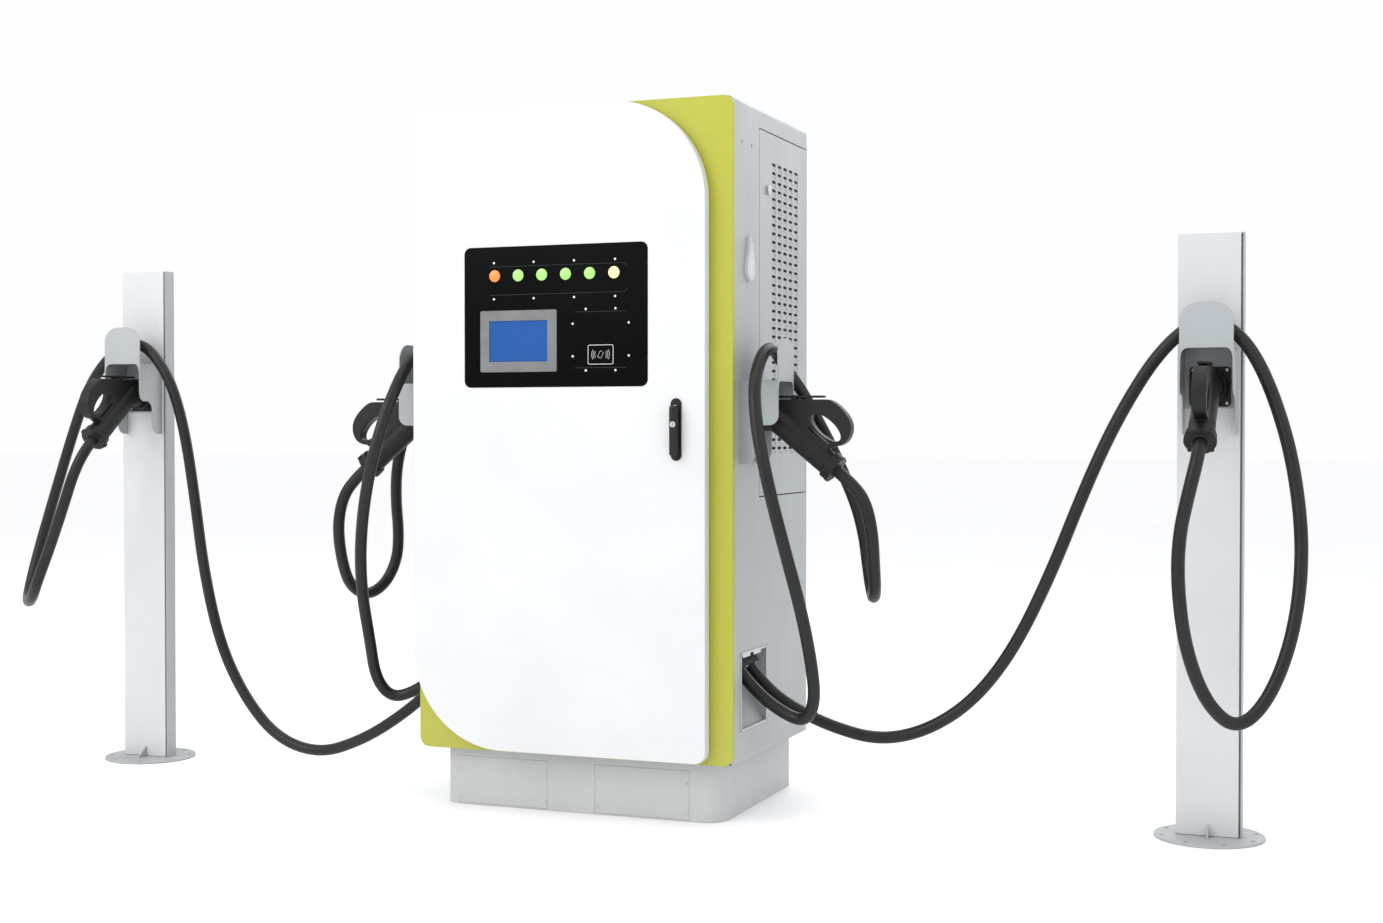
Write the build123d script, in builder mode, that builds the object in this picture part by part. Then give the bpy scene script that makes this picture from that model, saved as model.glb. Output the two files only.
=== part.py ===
"""Electric-vehicle charging station: one power cabinet and two satellite posts, joined by their cables.

Millimetres, +Z up. The origin is the centre of the cabinet's footprint on the ground, the front faces -Y
and the two posts stand to the right (+X) and to the left (-X).
"""

import os
from math import cos, pi, radians, sin, tan

from build123d import *

os.makedirs("parts", exist_ok=True)

# ---------------------------------------------------------------- driving dimensions
# Cabinet
CABINET_WIDTH = 896.0
WALL_OVERHANG = 6.0
CABINET_DEPTH = 650.0
CABINET_HEIGHT = 1850.0
PLINTH_HEIGHT = 155.0
SHEET = 3.0
FIT = 0.5
BACK_CORNER_RADIUS = 22.0
TOP_EDGE_RADIUS = 12.0
FASCIA_THICKNESS = 12.0
FASCIA_CORNER_RADIUS = 28.0

# Plinth
PLINTH_SIDE_INSET = 46.0
PLINTH_END_INSET = 40.0
PLINTH_CORNER_RADIUS = 58.0
PLINTH_WALL = 4.0
PLINTH_FLANGE = 6.0
PLINTH_TOP_RIM = 65.0
PLINTH_FLOOR_RIM = 95.0
ANCHOR_HOLE_RADIUS = 9.0
ANCHOR_EDGE = 70.0
COVER_LEFT_MARGIN = 48.0
COVER_RIGHT_MARGIN = 88.0
COVER_SPACING = 138.0
COVER_HEIGHT = 126.0
COVER_BOTTOM = 4.0
COVER_THICKNESS = 2.5
COVER_SCREW_INSET = 7.0
COVER_SCREW_HEIGHTS = (21.0, 95.0)
COVER_SCREW_RADIUS = 2.4
COVER_SCREW_LENGTH = 9.0
SCREW_HEAD_RADIUS = 4.2
SCREW_HEAD_HEIGHT = 1.4
SCREW_SOCKET_RADIUS = 1.8

# Cabinet housing
BACK_PANEL_SIDE_MARGIN = 55.0
BACK_PANEL_END_MARGIN = 65.0
BACK_PANEL_CORNER_RADIUS = 12.0
BACK_PANEL_SCREW_INSET = 15.0
BACK_PANEL_HOLE_RADIUS = 3.0
BACK_PANEL_SCREW_ROWS = 5
ENTRY_WIDTH = 420.0
ENTRY_DEPTH = 260.0
WALL_HOLE_RADIUS = 4.0
WALL_HOLE_MARGINS = (84.0, 159.0)
WALL_HOLE_TOP_MARGIN = 107.0

# Front door
DOOR_RIGHT_MARGIN = 63.0
DOOR_TOP_MARGIN = 2.0
DOOR_BOTTOM_MARGIN = 7.0
DOOR_THICKNESS = 30.0
DOOR_SKIN = 4.0
DOOR_GAP = 3.0
DOOR_SMALL_RADIUS = 30.0
DOOR_LARGE_RADIUS = 260.0
SEAL_INSET = 24.0
SEAL_WIDTH = 8.0
SEAL_HEIGHT = 6.0
OPENING_INSET = 34.0
HINGE_PIN_RADIUS = 2.5
HINGE_INSET = 5.5
HINGE_LEAF = 10.0
HINGE_BOSS = 34.0
HINGE_WALL = 1.5
HINGE_BORE_CLEARANCE = 0.4
HINGE_BLIND_END = 4.0
LOW_HINGE_HEIGHT = 330.0
TOP_HINGE_MARGIN = 160.0

# Control panel on the front door
PANEL_WIDTH = 522.0
PANEL_HEIGHT = 367.0
PANEL_BELOW_DOOR_TOP = 546.0
PANEL_WINDOW_RIM = 14.0
PANEL_THICKNESS = 4.0
PANEL_RECESS = 2.5
PANEL_CORNER_RADIUS = 18.0
LAMP_COUNT = 6
LAMP_PITCH = 68.0
LAMP_RADIUS = 15.5
LAMP_FIRST_X = -171.5
LAMP_ABOVE_CENTRE = 108.0
LAMP_PROUD = 3.0
LAMP_RIM = 4.0
LAMP_DEPTH = 14.0
BEZEL_WIDTH = 221.0
BEZEL_HEIGHT = 161.0
BEZEL_PROUD = 2.5
BEZEL_OFFSET_X = -103.0
BEZEL_OFFSET_Z = -63.5
SCREEN_WIDTH = 168.0
SCREEN_HEIGHT = 107.0
SCREEN_RIM = 5.0
SCREEN_DEPTH = 18.0
READER_SIZE = 150.0
READER_OFFSET_X = 131.0
READER_OFFSET_Z = -63.0
READER_DEPTH = 12.0

# Swing handle of the front door
HANDLE_DOOR_MARGIN = 77.5
HANDLE_CENTRE_Z = 1008.0
HANDLE_PIVOT_INSET = 26.0
HANDLE_BASE_WIDTH = 29.0
HANDLE_BASE_HEIGHT = 158.0
HANDLE_BASE_THICKNESS = 4.0
LEVER_WIDTH = 21.0
LEVER_LENGTH = 130.0
LEVER_THICKNESS = 14.0
LEVER_STANDOFF = 7.0
HUB_RADIUS = 9.0
KEY_RADIUS = 7.5
KEY_CLEARANCE = 0.3
KEY_DROP = 40.0
CAM_LENGTH = 42.0
CAM_THICKNESS = 5.0
CAM_GAP = 3.0

# Service door in each side wall
SERVICE_FRONT_MARGIN = 222.0
SERVICE_BACK_MARGIN = 23.0
SERVICE_BOTTOM_Z = 833.0
SERVICE_TOP_MARGIN = 54.0
SERVICE_GAP = 3.0
SERVICE_FLANGE = 16.0
SERVICE_PIVOT_INSET = 5.0
SERVICE_PIN_RADIUS = 3.0
SERVICE_PIN_LENGTH = 8.0
SERVICE_PIN_CLEARANCE = 0.4
PIVOT_SOCKET_SIZE = 18.0
PIVOT_SOCKET_HEIGHT = 10.0
PIVOT_SOCKET_OFFSET = 4.0
PIVOT_BLOCK_SIZE = 16.0
PIVOT_BLOCK_HEIGHT = 18.0
PIVOT_BLOCK_DEPTH = 22.0
PIVOT_NECK = 9.5
VENT_BACK_MARGIN = 190.0
VENT_TOP_MARGIN = 71.0
VENT_BOTTOM_Z = 958.0
VENT_COLUMNS = 5
VENT_COLUMN_PITCH = 48.0
VENT_ROW_PITCH = 23.0
SLOT_LENGTH = 32.0
SLOT_HEIGHT = 8.0
DIMPLE_DEPTH = 1.2
FILTER_THICKNESS = 12.0
FILTER_BORDER = 10.0
SERVICE_LOCK_INSET = 63.0
SERVICE_LOCK_DROP = 153.0
SERVICE_LOCK_RADIUS = 13.0
SERVICE_LOCK_PROUD = 8.0
SPINDLE_RADIUS = 9.0
SPINDLE_LENGTH = 12.0
BOLT_WIDTH = 16.0
BOLT_THICKNESS = 4.0
BOLT_GAP = 2.0
BOLT_GRIP = 12.0
FACE_GAP = 0.2

# Emergency-lock cover on each fixed side strip
LOCK_COVER_FRONT_MARGIN = 130.0
LOCK_COVER_ABOVE_HOLSTER = 361.0
LOCK_COVER_PIN_RADIUS = 5.0
LOCK_COVER_GAP = 0.4
LOCK_COVER_LENGTH = 76.0
LOCK_COVER_RADIUS = 29.0
LOCK_COVER_TOP_RADIUS = 11.0
LOCK_COVER_THICKNESS = 11.0

# Cable outlet in each side wall
OUTLET_FRONT_MARGIN = 75.0
OUTLET_WIDTH = 202.0
OUTLET_BOTTOM_Z = 235.0
OUTLET_TOP_Z = 434.0
OUTLET_DEPTH = 92.0
OUTLET_SILL_DEPTH = 10.0
OUTLET_ROOF = 50.0
OUTLET_WALL = 2.0
OUTLET_SILL = 1.5
CLAMP_FACE_INSET = 24.0
CLAMP_FACE_Z = 385.0
CLAMP_ANGLE = 50.0
CLAMP_LENGTH = 40.0
CLAMP_HEIGHT = 42.0
CLAMP_WIDTH = 156.0
CABLE_SPACING = 85.0
CLAMP_FRONT_MARGIN = 172.5
CLAMP_PLATE_DEPTH = 26.0
CLAMP_PLATE = 3.0
CLAMP_TAB_WIDTH = 58.0
CLAMP_TAB_HEIGHT = 12.0

# Charging cable
CABLE_RADIUS = 16.0

# Gun holster
HOLSTER_DEPTH = 105.0
HOLSTER_WIDTH = 128.0
HOLSTER_SHEET = 3.0
HOLSTER_SHALLOW_DEPTH = 45.0
HOLSTER_DEEP_HEIGHT = 115.0
HOLSTER_HEIGHT = 213.0
HOLSTER_STEP_RADIUS = 25.0
HOLSTER_END_RADIUS = 30.0
HOLSTER_EDGE_RADIUS = 5.0
SHIELD_SIDE_INSET = 0.5
SHIELD_HEIGHT = 107.0
SHIELD_CORNER_RADIUS = 46.0
SHIELD_RIM = 4.0
SHIELD_DROP = 24.0
SOCKET_DROP = 95.0
SOCKET_BORDER = 6.0
SOCKET_FLANGE_THICKNESS = 6.0
SOCKET_WALL = 8.0
SOCKET_SCREW_INSET = 8.5
SOCKET_REACH = 26.0
NOSE_RADIUS = 34.0
NOSE_CLEARANCE = 1.0
NOSE_TIP = 14.5
HOLSTER_FRONT_MARGIN = 127.0
CABINET_HOLSTER_Z = 1134.0
POST_HOLSTER_Z = 1208.0

# Charging gun, in the holster's frame: u outwards, v sideways, w up from the holster's top
GRIP_ANGLE = 39.0
GRIP_RADIUS = 31.0
GRIP_START_U = 69.5
GRIP_START_W = -92.0
GRIP_LENGTH = 192.0
COLLAR_RADIUS = 37.0
COLLAR_LENGTH = 26.0
HEAD_WIDTH = 34.0
HEAD_TOP_W = -49.5
RING_HOLE_U = 214.5
RING_HOLE_W = -121.0
RING_HOLE_LONG = 49.0
RING_HOLE_SHORT = 21.0
RING_HOLE_ANGLE = -40.0
LATCH_START_U = 62.0
LATCH_LENGTH = 146.0
LATCH_WIDTH = 24.0
LATCH_THICKNESS = 5.5
LATCH_BOTTOM_W = -45.0
LATCH_PIVOT_U = 130.0
LATCH_PIN_RADIUS = 3.0

# Satellite posts
POST_SPACING = 3160.0
POST_WIDTH = 158.0
POST_DEPTH = 44.0
POST_Y = 10.0
POST_HEIGHT = 1490.0
POST_WALL = 3.0
POST_GROOVE = 4.5
POST_COVER_THICKNESS = 3.0
BASE_RADIUS = 134.0
BASE_THICKNESS = 6.0
BASE_BOLT_CIRCLE = 234.0
BASE_BOLT_COUNT = 8
BASE_HOLE_RADIUS = 6.0
GUSSET_LENGTH = 38.0
GUSSET_HEIGHT = 30.0
GUSSET_THICKNESS = 4.0

# Equipment inside the cabinet
RACK_SIDE_MARGIN = 168.0
RACK_END_MARGIN = 155.0
RACK_TOP_MARGIN = 150.0
RACK_POST = 30.0
RACK_SHELF = 4.0
RACK_SHELF_HEIGHTS = (480.0, 760.0, 860.0)
MODULE_SIDE_GAP = 40.0
MODULE_END_GAP = 20.0
MODULE_HEIGHT = 88.0
MODULE_PITCH = 104.0
MODULE_WALL = 4.0
MODULE_SLOT_PITCH = 36.0
CONTACTOR_PITCH = 110.0
TERMINAL_PITCH = 70.0

# ---------------------------------------------------------------- derived values
HALF_WIDTH = CABINET_WIDTH / 2
HALF_DEPTH = CABINET_DEPTH / 2
WALL_X = HALF_WIDTH - WALL_OVERHANG
SHELL_WIDTH = 2 * WALL_X
FRONT_Y = -HALF_DEPTH
SHELL_FRONT_Y = FRONT_Y + FASCIA_THICKNESS
DOOR_BACK_Y = FRONT_Y - DOOR_GAP
DOOR_FRONT_Y = DOOR_BACK_Y - DOOR_THICKNESS
DOOR_LEFT_X = -HALF_WIDTH
DOOR_RIGHT_X = HALF_WIDTH - DOOR_RIGHT_MARGIN
DOOR_TOP_Z = CABINET_HEIGHT - DOOR_TOP_MARGIN
DOOR_BOTTOM_Z = PLINTH_HEIGHT + DOOR_BOTTOM_MARGIN
HINGE_X = DOOR_LEFT_X + HINGE_INSET
HINGE_Y = DOOR_BACK_Y - HINGE_INSET
PANEL_CENTRE_X = (DOOR_LEFT_X + DOOR_RIGHT_X) / 2
PANEL_CENTRE_Z = DOOR_TOP_Z - PANEL_BELOW_DOOR_TOP
PANEL_FRONT_Y = DOOR_FRONT_Y + PANEL_RECESS - PANEL_THICKNESS
HANDLE_CENTRE_X = DOOR_RIGHT_X - HANDLE_DOOR_MARGIN
HANDLE_PIVOT_Z = HANDLE_CENTRE_Z + HANDLE_BASE_HEIGHT / 2 - HANDLE_PIVOT_INSET
BASE_PLATE_FRONT_Y = DOOR_FRONT_Y - HANDLE_BASE_THICKNESS
LEVER_BACK_Y = BASE_PLATE_FRONT_Y - LEVER_STANDOFF
LEVER_AXIS_Y = LEVER_BACK_Y - LEVER_THICKNESS / 2
SERVICE_FRONT_Y = FRONT_Y + SERVICE_FRONT_MARGIN
SERVICE_BACK_Y = HALF_DEPTH - SERVICE_BACK_MARGIN
SERVICE_TOP_Z = CABINET_HEIGHT - SERVICE_TOP_MARGIN
SERVICE_LOCK_Y = SERVICE_FRONT_Y + SERVICE_LOCK_INSET
SERVICE_LOCK_Z = SERVICE_TOP_Z - SERVICE_LOCK_DROP
VENT_CENTRE_Y = SERVICE_BACK_Y - VENT_BACK_MARGIN
VENT_ROWS = int((SERVICE_TOP_Z - VENT_TOP_MARGIN - VENT_BOTTOM_Z) / VENT_ROW_PITCH) + 1
LOCK_COVER_Y = FRONT_Y + LOCK_COVER_FRONT_MARGIN
LOCK_COVER_PIVOT_Z = CABINET_HOLSTER_Z + LOCK_COVER_ABOVE_HOLSTER
OUTLET_FRONT_Y = FRONT_Y + OUTLET_FRONT_MARGIN
OUTLET_BACK_Y = OUTLET_FRONT_Y + OUTLET_WIDTH
CLAMP_CENTRE_Y = FRONT_Y + CLAMP_FRONT_MARGIN
CABINET_HOLSTER_Y = FRONT_Y + HOLSTER_FRONT_MARGIN
SHIELD_WIDTH = HOLSTER_WIDTH - 2 * SHIELD_SIDE_INSET
SOCKET_BORE = NOSE_RADIUS + NOSE_CLEARANCE
SOCKET_BOSS_RADIUS = SOCKET_BORE + SOCKET_WALL
SOCKET_FLANGE = 2 * (SOCKET_BOSS_RADIUS + SOCKET_BORDER)
GRIP_DIRECTION = Vector(cos(radians(GRIP_ANGLE)), 0, -sin(radians(GRIP_ANGLE)))
GRIP_START = Vector(GRIP_START_U, 0, GRIP_START_W)
GUN_EXIT = GRIP_START + GRIP_DIRECTION * (GRIP_LENGTH + COLLAR_LENGTH)
POST_X = POST_SPACING / 2
POST_FRONT_Y = POST_Y - POST_DEPTH / 2

# Each holster's frame: x outwards, z up, the origin on the wall at the height of the holster's top.
HOLSTERS = {
    "right": Plane(origin=(WALL_X, CABINET_HOLSTER_Y, CABINET_HOLSTER_Z), x_dir=(1, 0, 0)),
    "left": Plane(origin=(-WALL_X, CABINET_HOLSTER_Y, CABINET_HOLSTER_Z), x_dir=(-1, 0, 0)),
    "post_right": Plane(origin=(POST_X, POST_FRONT_Y, POST_HOLSTER_Z), x_dir=(0, -1, 0)),
    "post_left": Plane(origin=(-POST_X, POST_FRONT_Y, POST_HOLSTER_Z), x_dir=(0, -1, 0)),
}


def write(part, name):
    """Label a finished piece and write it as its own STEP file."""
    part.label = name
    export_step(part, f"parts/{name}.step")
    print(name, len(part.solids()), round(part.volume))


def put(plane, part):
    """A piece made in a local frame, placed where that frame stands."""
    return plane.location * part


def mirrored(part):
    """The same piece on the cabinet's other side."""
    return mirror(part, about=Plane.YZ)


# ---------------------------------------------------------------- plinth
def plinth():
    half_x = HALF_WIDTH - PLINTH_SIDE_INSET
    half_y = HALF_DEPTH - PLINTH_END_INSET
    cover_width = half_x - (COVER_LEFT_MARGIN + COVER_RIGHT_MARGIN + COVER_SPACING) / 2
    left_cover = -half_x + COVER_LEFT_MARGIN + cover_width / 2
    cover_centres = [left_cover, left_cover + cover_width + COVER_SPACING]
    cover_z = COVER_BOTTOM + COVER_HEIGHT / 2
    screw_reach = cover_width / 2 - COVER_SCREW_INSET
    screws = [(x + s * screw_reach, z) for x in cover_centres for s in (-1, 1) for z in COVER_SCREW_HEIGHTS]
    with BuildPart() as frame:
        with BuildSketch() as outline:
            Rectangle(2 * half_x, 2 * half_y)
            fillet(outline.vertices().group_by(Axis.Y)[0], PLINTH_CORNER_RADIUS)
            fillet(outline.vertices().group_by(Axis.Y)[-1], PLINTH_CORNER_RADIUS / 4)
        extrude(amount=PLINTH_HEIGHT)
        # hollow between the floor flange and the top flange, each with its own opening
        with BuildSketch(Plane.XY.offset(PLINTH_FLANGE)):
            offset(outline.sketch, amount=-PLINTH_WALL)
        extrude(amount=PLINTH_HEIGHT - 2 * PLINTH_FLANGE, mode=Mode.SUBTRACT)
        with BuildSketch(Plane.XY.offset(PLINTH_FLANGE)):
            Rectangle(2 * (half_x - PLINTH_TOP_RIM), 2 * (half_y - PLINTH_TOP_RIM))
        extrude(amount=PLINTH_HEIGHT, mode=Mode.SUBTRACT)
        with BuildSketch():
            Rectangle(2 * (half_x - PLINTH_FLOOR_RIM), 2 * (half_y - PLINTH_FLOOR_RIM))
        extrude(amount=PLINTH_HEIGHT, mode=Mode.SUBTRACT)
        with Locations(*[(x, -half_y, cover_z) for x in cover_centres]):
            Box(cover_width + 2 * FIT, 2.2 * PLINTH_WALL, COVER_HEIGHT + 2 * FIT, mode=Mode.SUBTRACT)
        with GridLocations(2 * (half_x - ANCHOR_EDGE), 2 * (half_y - ANCHOR_EDGE), 2, 2):
            Cylinder(ANCHOR_HOLE_RADIUS, 4 * PLINTH_FLANGE, mode=Mode.SUBTRACT)
    write(frame.part, "plinth_frame")

    with BuildPart() as covers:
        with BuildSketch(Plane.XZ.offset(half_y - COVER_THICKNESS)):
            with Locations(*[(x, cover_z) for x in cover_centres]):
                RectangleRounded(cover_width, COVER_HEIGHT, 2)
            with Locations(*screws):
                Circle(COVER_SCREW_RADIUS + 0.2, mode=Mode.SUBTRACT)
        extrude(amount=COVER_THICKNESS)
    write(covers.part, "plinth_covers")

    with BuildPart() as bolts:
        with BuildSketch(Plane.XZ.offset(half_y - COVER_SCREW_LENGTH)):
            with Locations(*screws):
                Circle(COVER_SCREW_RADIUS)
        extrude(amount=COVER_SCREW_LENGTH)
        with BuildSketch(Plane.XZ.offset(half_y)):
            with Locations(*screws):
                Circle(SCREW_HEAD_RADIUS)
                RegularPolygon(SCREW_SOCKET_RADIUS, 6, mode=Mode.SUBTRACT)
        extrude(amount=SCREW_HEAD_HEIGHT)
    write(bolts.part, "plinth_screws")


# ---------------------------------------------------------------- cabinet housing
def housing():
    shell_depth = HALF_DEPTH - SHELL_FRONT_Y
    shell_height = CABINET_HEIGHT - PLINTH_HEIGHT
    middle_y = (HALF_DEPTH + SHELL_FRONT_Y) / 2
    panel_w = CABINET_WIDTH - 2 * BACK_PANEL_SIDE_MARGIN
    panel_h = shell_height - 2 * BACK_PANEL_END_MARGIN
    panel_z = PLINTH_HEIGHT + shell_height / 2
    screws_w = panel_w - 2 * BACK_PANEL_SCREW_INSET
    screws_h = panel_h - 2 * BACK_PANEL_SCREW_INSET
    screw_step = screws_h / (BACK_PANEL_SCREW_ROWS - 1)
    with BuildPart() as shell:
        with BuildSketch(Plane.XY.offset(PLINTH_HEIGHT)) as outline:
            with Locations((0, middle_y)):
                Rectangle(SHELL_WIDTH, shell_depth)
            fillet(outline.vertices().group_by(Axis.Y)[-1], BACK_CORNER_RADIUS)
        extrude(amount=shell_height)
        fillet(shell.faces().sort_by(Axis.Z)[-1].edges().filter_by(
            lambda e: e.center().Y > SHELL_FRONT_Y + 1), TOP_EDGE_RADIUS)
        with BuildSketch(Plane.XY.offset(PLINTH_HEIGHT + SHEET)) as inside:
            with Locations((0, middle_y - SHEET)):
                Rectangle(SHELL_WIDTH - 2 * SHEET, shell_depth)
            fillet(inside.vertices().group_by(Axis.Y)[-1], BACK_CORNER_RADIUS - SHEET)
        extrude(amount=shell_height - SHEET - TOP_EDGE_RADIUS, mode=Mode.SUBTRACT)
        # rear opening for the removable panel
        with BuildSketch(Plane.XZ.offset(-HALF_DEPTH)):
            with Locations((0, panel_z)):
                RectangleRounded(panel_w + 2 * FIT, panel_h + 2 * FIT, BACK_PANEL_CORNER_RADIUS)
        extrude(amount=2 * SHEET, both=True, mode=Mode.SUBTRACT)
        # cable entry in the floor
        with BuildSketch(Plane.XY.offset(PLINTH_HEIGHT)):
            Rectangle(ENTRY_WIDTH, ENTRY_DEPTH)
        extrude(amount=2 * SHEET, both=True, mode=Mode.SUBTRACT)
        # openings of both side walls
        with BuildSketch(Plane.YZ):
            with Locations(((SERVICE_FRONT_Y + SERVICE_BACK_Y) / 2, (SERVICE_BOTTOM_Z + SERVICE_TOP_Z) / 2)):
                Rectangle(SERVICE_BACK_Y - SERVICE_FRONT_Y + 2 * SERVICE_GAP,
                          SERVICE_TOP_Z - SERVICE_BOTTOM_Z + 2 * SERVICE_GAP)
            with Locations(((OUTLET_FRONT_Y + OUTLET_BACK_Y) / 2, (OUTLET_BOTTOM_Z + OUTLET_TOP_Z) / 2)):
                Rectangle(OUTLET_BACK_Y - OUTLET_FRONT_Y + 2 * FIT, OUTLET_TOP_Z - OUTLET_BOTTOM_Z + 2 * FIT)
            for margin in WALL_HOLE_MARGINS:
                with Locations((FRONT_Y + margin, CABINET_HEIGHT - WALL_HOLE_TOP_MARGIN)):
                    Circle(WALL_HOLE_RADIUS)
            with Locations((LOCK_COVER_Y, LOCK_COVER_PIVOT_Z)):
                Circle(LOCK_COVER_PIN_RADIUS + FIT)
        extrude(amount=HALF_WIDTH + 1, both=True, mode=Mode.SUBTRACT)
    write(shell.part, "body_shell")

    with BuildPart() as back:
        with BuildSketch(Plane.XZ.offset(-HALF_DEPTH)):
            with Locations((0, panel_z)):
                RectangleRounded(panel_w, panel_h, BACK_PANEL_CORNER_RADIUS)
        extrude(amount=SHEET)
        with BuildSketch(Plane.XZ.offset(-HALF_DEPTH)):
            for z in (panel_z + 0.30 * panel_h, panel_z - 0.22 * panel_h):
                with Locations((0, z)):
                    with GridLocations(150, 20, 4, 14):
                        SlotOverall(110, 8)
        extrude(amount=SHEET, mode=Mode.SUBTRACT)
        with BuildSketch(Plane.XZ.offset(-HALF_DEPTH)):
            with Locations((0, panel_z)):
                with GridLocations(screws_w, screw_step, 2, BACK_PANEL_SCREW_ROWS):
                    Circle(BACK_PANEL_HOLE_RADIUS)
        extrude(amount=SHEET, mode=Mode.SUBTRACT)
    write(back.part, "back_panel")

    with BuildPart() as fascia:
        with BuildSketch(Plane.XZ.offset(HALF_DEPTH - FASCIA_THICKNESS)):
            with Locations((0, (CABINET_HEIGHT + PLINTH_HEIGHT) / 2)):
                RectangleRounded(CABINET_WIDTH, shell_height, FASCIA_CORNER_RADIUS)
        extrude(amount=FASCIA_THICKNESS)
        with BuildSketch(Plane.XZ.offset(HALF_DEPTH - FASCIA_THICKNESS)):
            add(door_outline(OPENING_INSET))
        extrude(amount=FASCIA_THICKNESS, mode=Mode.SUBTRACT)
        chamfer(fascia.faces().sort_by(Axis.Y)[0].outer_wire().edges(), 1.2)
    write(fascia.part, "fascia")

    with BuildPart() as seal:
        with BuildSketch(Plane.XZ.offset(HALF_DEPTH)):
            add(door_outline(SEAL_INSET))
            add(door_outline(SEAL_INSET + SEAL_WIDTH), mode=Mode.SUBTRACT)
        extrude(amount=SEAL_HEIGHT)
    write(seal.part, "door_seal")


def door_outline(inset):
    """The door's outline, with two large and two small corner arcs, drawn smaller by an inset."""
    with BuildSketch(mode=Mode.PRIVATE) as outline:
        with Locations(((DOOR_LEFT_X + DOOR_RIGHT_X) / 2, (DOOR_TOP_Z + DOOR_BOTTOM_Z) / 2)):
            Rectangle(DOOR_RIGHT_X - DOOR_LEFT_X - 2 * inset, DOOR_TOP_Z - DOOR_BOTTOM_Z - 2 * inset)
        corners = outline.vertices().sort_by(lambda v: v.X + v.Y)
        fillet(corners[0], DOOR_LARGE_RADIUS - inset)
        corners = outline.vertices().sort_by(lambda v: v.X + v.Y)
        fillet(corners[-1], DOOR_LARGE_RADIUS - inset)
        low_right = outline.vertices().sort_by(lambda v: v.X - v.Y)[-1]
        fillet(low_right, max(DOOR_SMALL_RADIUS - inset, 6.0))
        top_left = outline.vertices().sort_by(lambda v: v.X - v.Y)[0]
        fillet(top_left, max(DOOR_SMALL_RADIUS - inset, 6.0))
    return outline.sketch


# ---------------------------------------------------------------- front door
def front_door():
    with BuildPart() as door:
        with BuildSketch(Plane.XZ.offset(-DOOR_BACK_Y)):
            add(door_outline(0))
        extrude(amount=DOOR_THICKNESS)
        chamfer(door.faces().sort_by(Axis.Y)[0].outer_wire().edges(), 1.5)
        with BuildSketch(Plane.XZ.offset(-DOOR_BACK_Y)):
            add(door_outline(2.5))
        extrude(amount=DOOR_THICKNESS - DOOR_SKIN, mode=Mode.SUBTRACT)
        # recess for the glass and the window behind it
        with BuildSketch(Plane.XZ.offset(-DOOR_FRONT_Y)):
            with Locations((PANEL_CENTRE_X, PANEL_CENTRE_Z)):
                RectangleRounded(PANEL_WIDTH + 2 * FIT, PANEL_HEIGHT + 2 * FIT, PANEL_CORNER_RADIUS + FIT)
        extrude(amount=-PANEL_RECESS, mode=Mode.SUBTRACT)
        with BuildSketch(Plane.XZ.offset(-DOOR_FRONT_Y)):
            with Locations((PANEL_CENTRE_X, PANEL_CENTRE_Z)):
                RectangleRounded(PANEL_WIDTH - 2 * PANEL_WINDOW_RIM, PANEL_HEIGHT - 2 * PANEL_WINDOW_RIM, 10)
        extrude(amount=-DOOR_SKIN - 1, mode=Mode.SUBTRACT)
        # handle spindle
        with BuildSketch(Plane.XZ.offset(-DOOR_FRONT_Y)):
            with Locations((HANDLE_CENTRE_X, HANDLE_PIVOT_Z)):
                Circle(HUB_RADIUS + FIT)
        extrude(amount=-DOOR_SKIN - 1, mode=Mode.SUBTRACT)
        # notches for the fixed hinge leaves, and the blocks above them that turn on the pins
        for z in hinge_heights():
            with BuildSketch(Plane.XY.offset(z)):
                with Locations((HINGE_X, HINGE_Y - 0.5)):
                    Rectangle(2 * HINGE_INSET + 3, 2 * HINGE_INSET + 2)
            extrude(amount=HINGE_LEAF + 1, mode=Mode.SUBTRACT)
            with BuildSketch(Plane.XY.offset(z + HINGE_LEAF + 1)):
                with Locations((HINGE_X + 0.5, HINGE_Y)):
                    Rectangle(2 * HINGE_INSET, 2 * HINGE_INSET)
            extrude(amount=HINGE_BOSS)
            with BuildSketch(Plane.XY.offset(z + HINGE_LEAF + 1)):
                with Locations((HINGE_X, HINGE_Y)):
                    Circle(HINGE_PIN_RADIUS + HINGE_BORE_CLEARANCE)
            extrude(amount=HINGE_BOSS - HINGE_BLIND_END, mode=Mode.SUBTRACT)
    write(door.part, "front_door")

    with BuildPart() as hinges:
        for z in hinge_heights():
            with BuildSketch(Plane.XY.offset(z + 0.5)):
                with Locations((HINGE_X, HINGE_Y)):
                    Circle(HINGE_PIN_RADIUS + HINGE_WALL)
                with Locations((HINGE_X, (HINGE_Y + FRONT_Y) / 2)):
                    Rectangle(2 * (HINGE_PIN_RADIUS + HINGE_WALL), FRONT_Y - HINGE_Y)
            extrude(amount=HINGE_LEAF - 0.5)
            with BuildSketch(Plane.XY.offset(z + HINGE_LEAF)):
                with Locations((HINGE_X, HINGE_Y)):
                    Circle(HINGE_PIN_RADIUS)
            extrude(amount=HINGE_BOSS - HINGE_BLIND_END - 1)
    write(hinges.part, "door_hinge_pins")


def hinge_heights():
    """Where the three pins stand inside the door's hollow left edge."""
    return [DOOR_BOTTOM_Z + LOW_HINGE_HEIGHT, (DOOR_BOTTOM_Z + DOOR_TOP_Z) / 2, DOOR_TOP_Z - TOP_HINGE_MARGIN]


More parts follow.
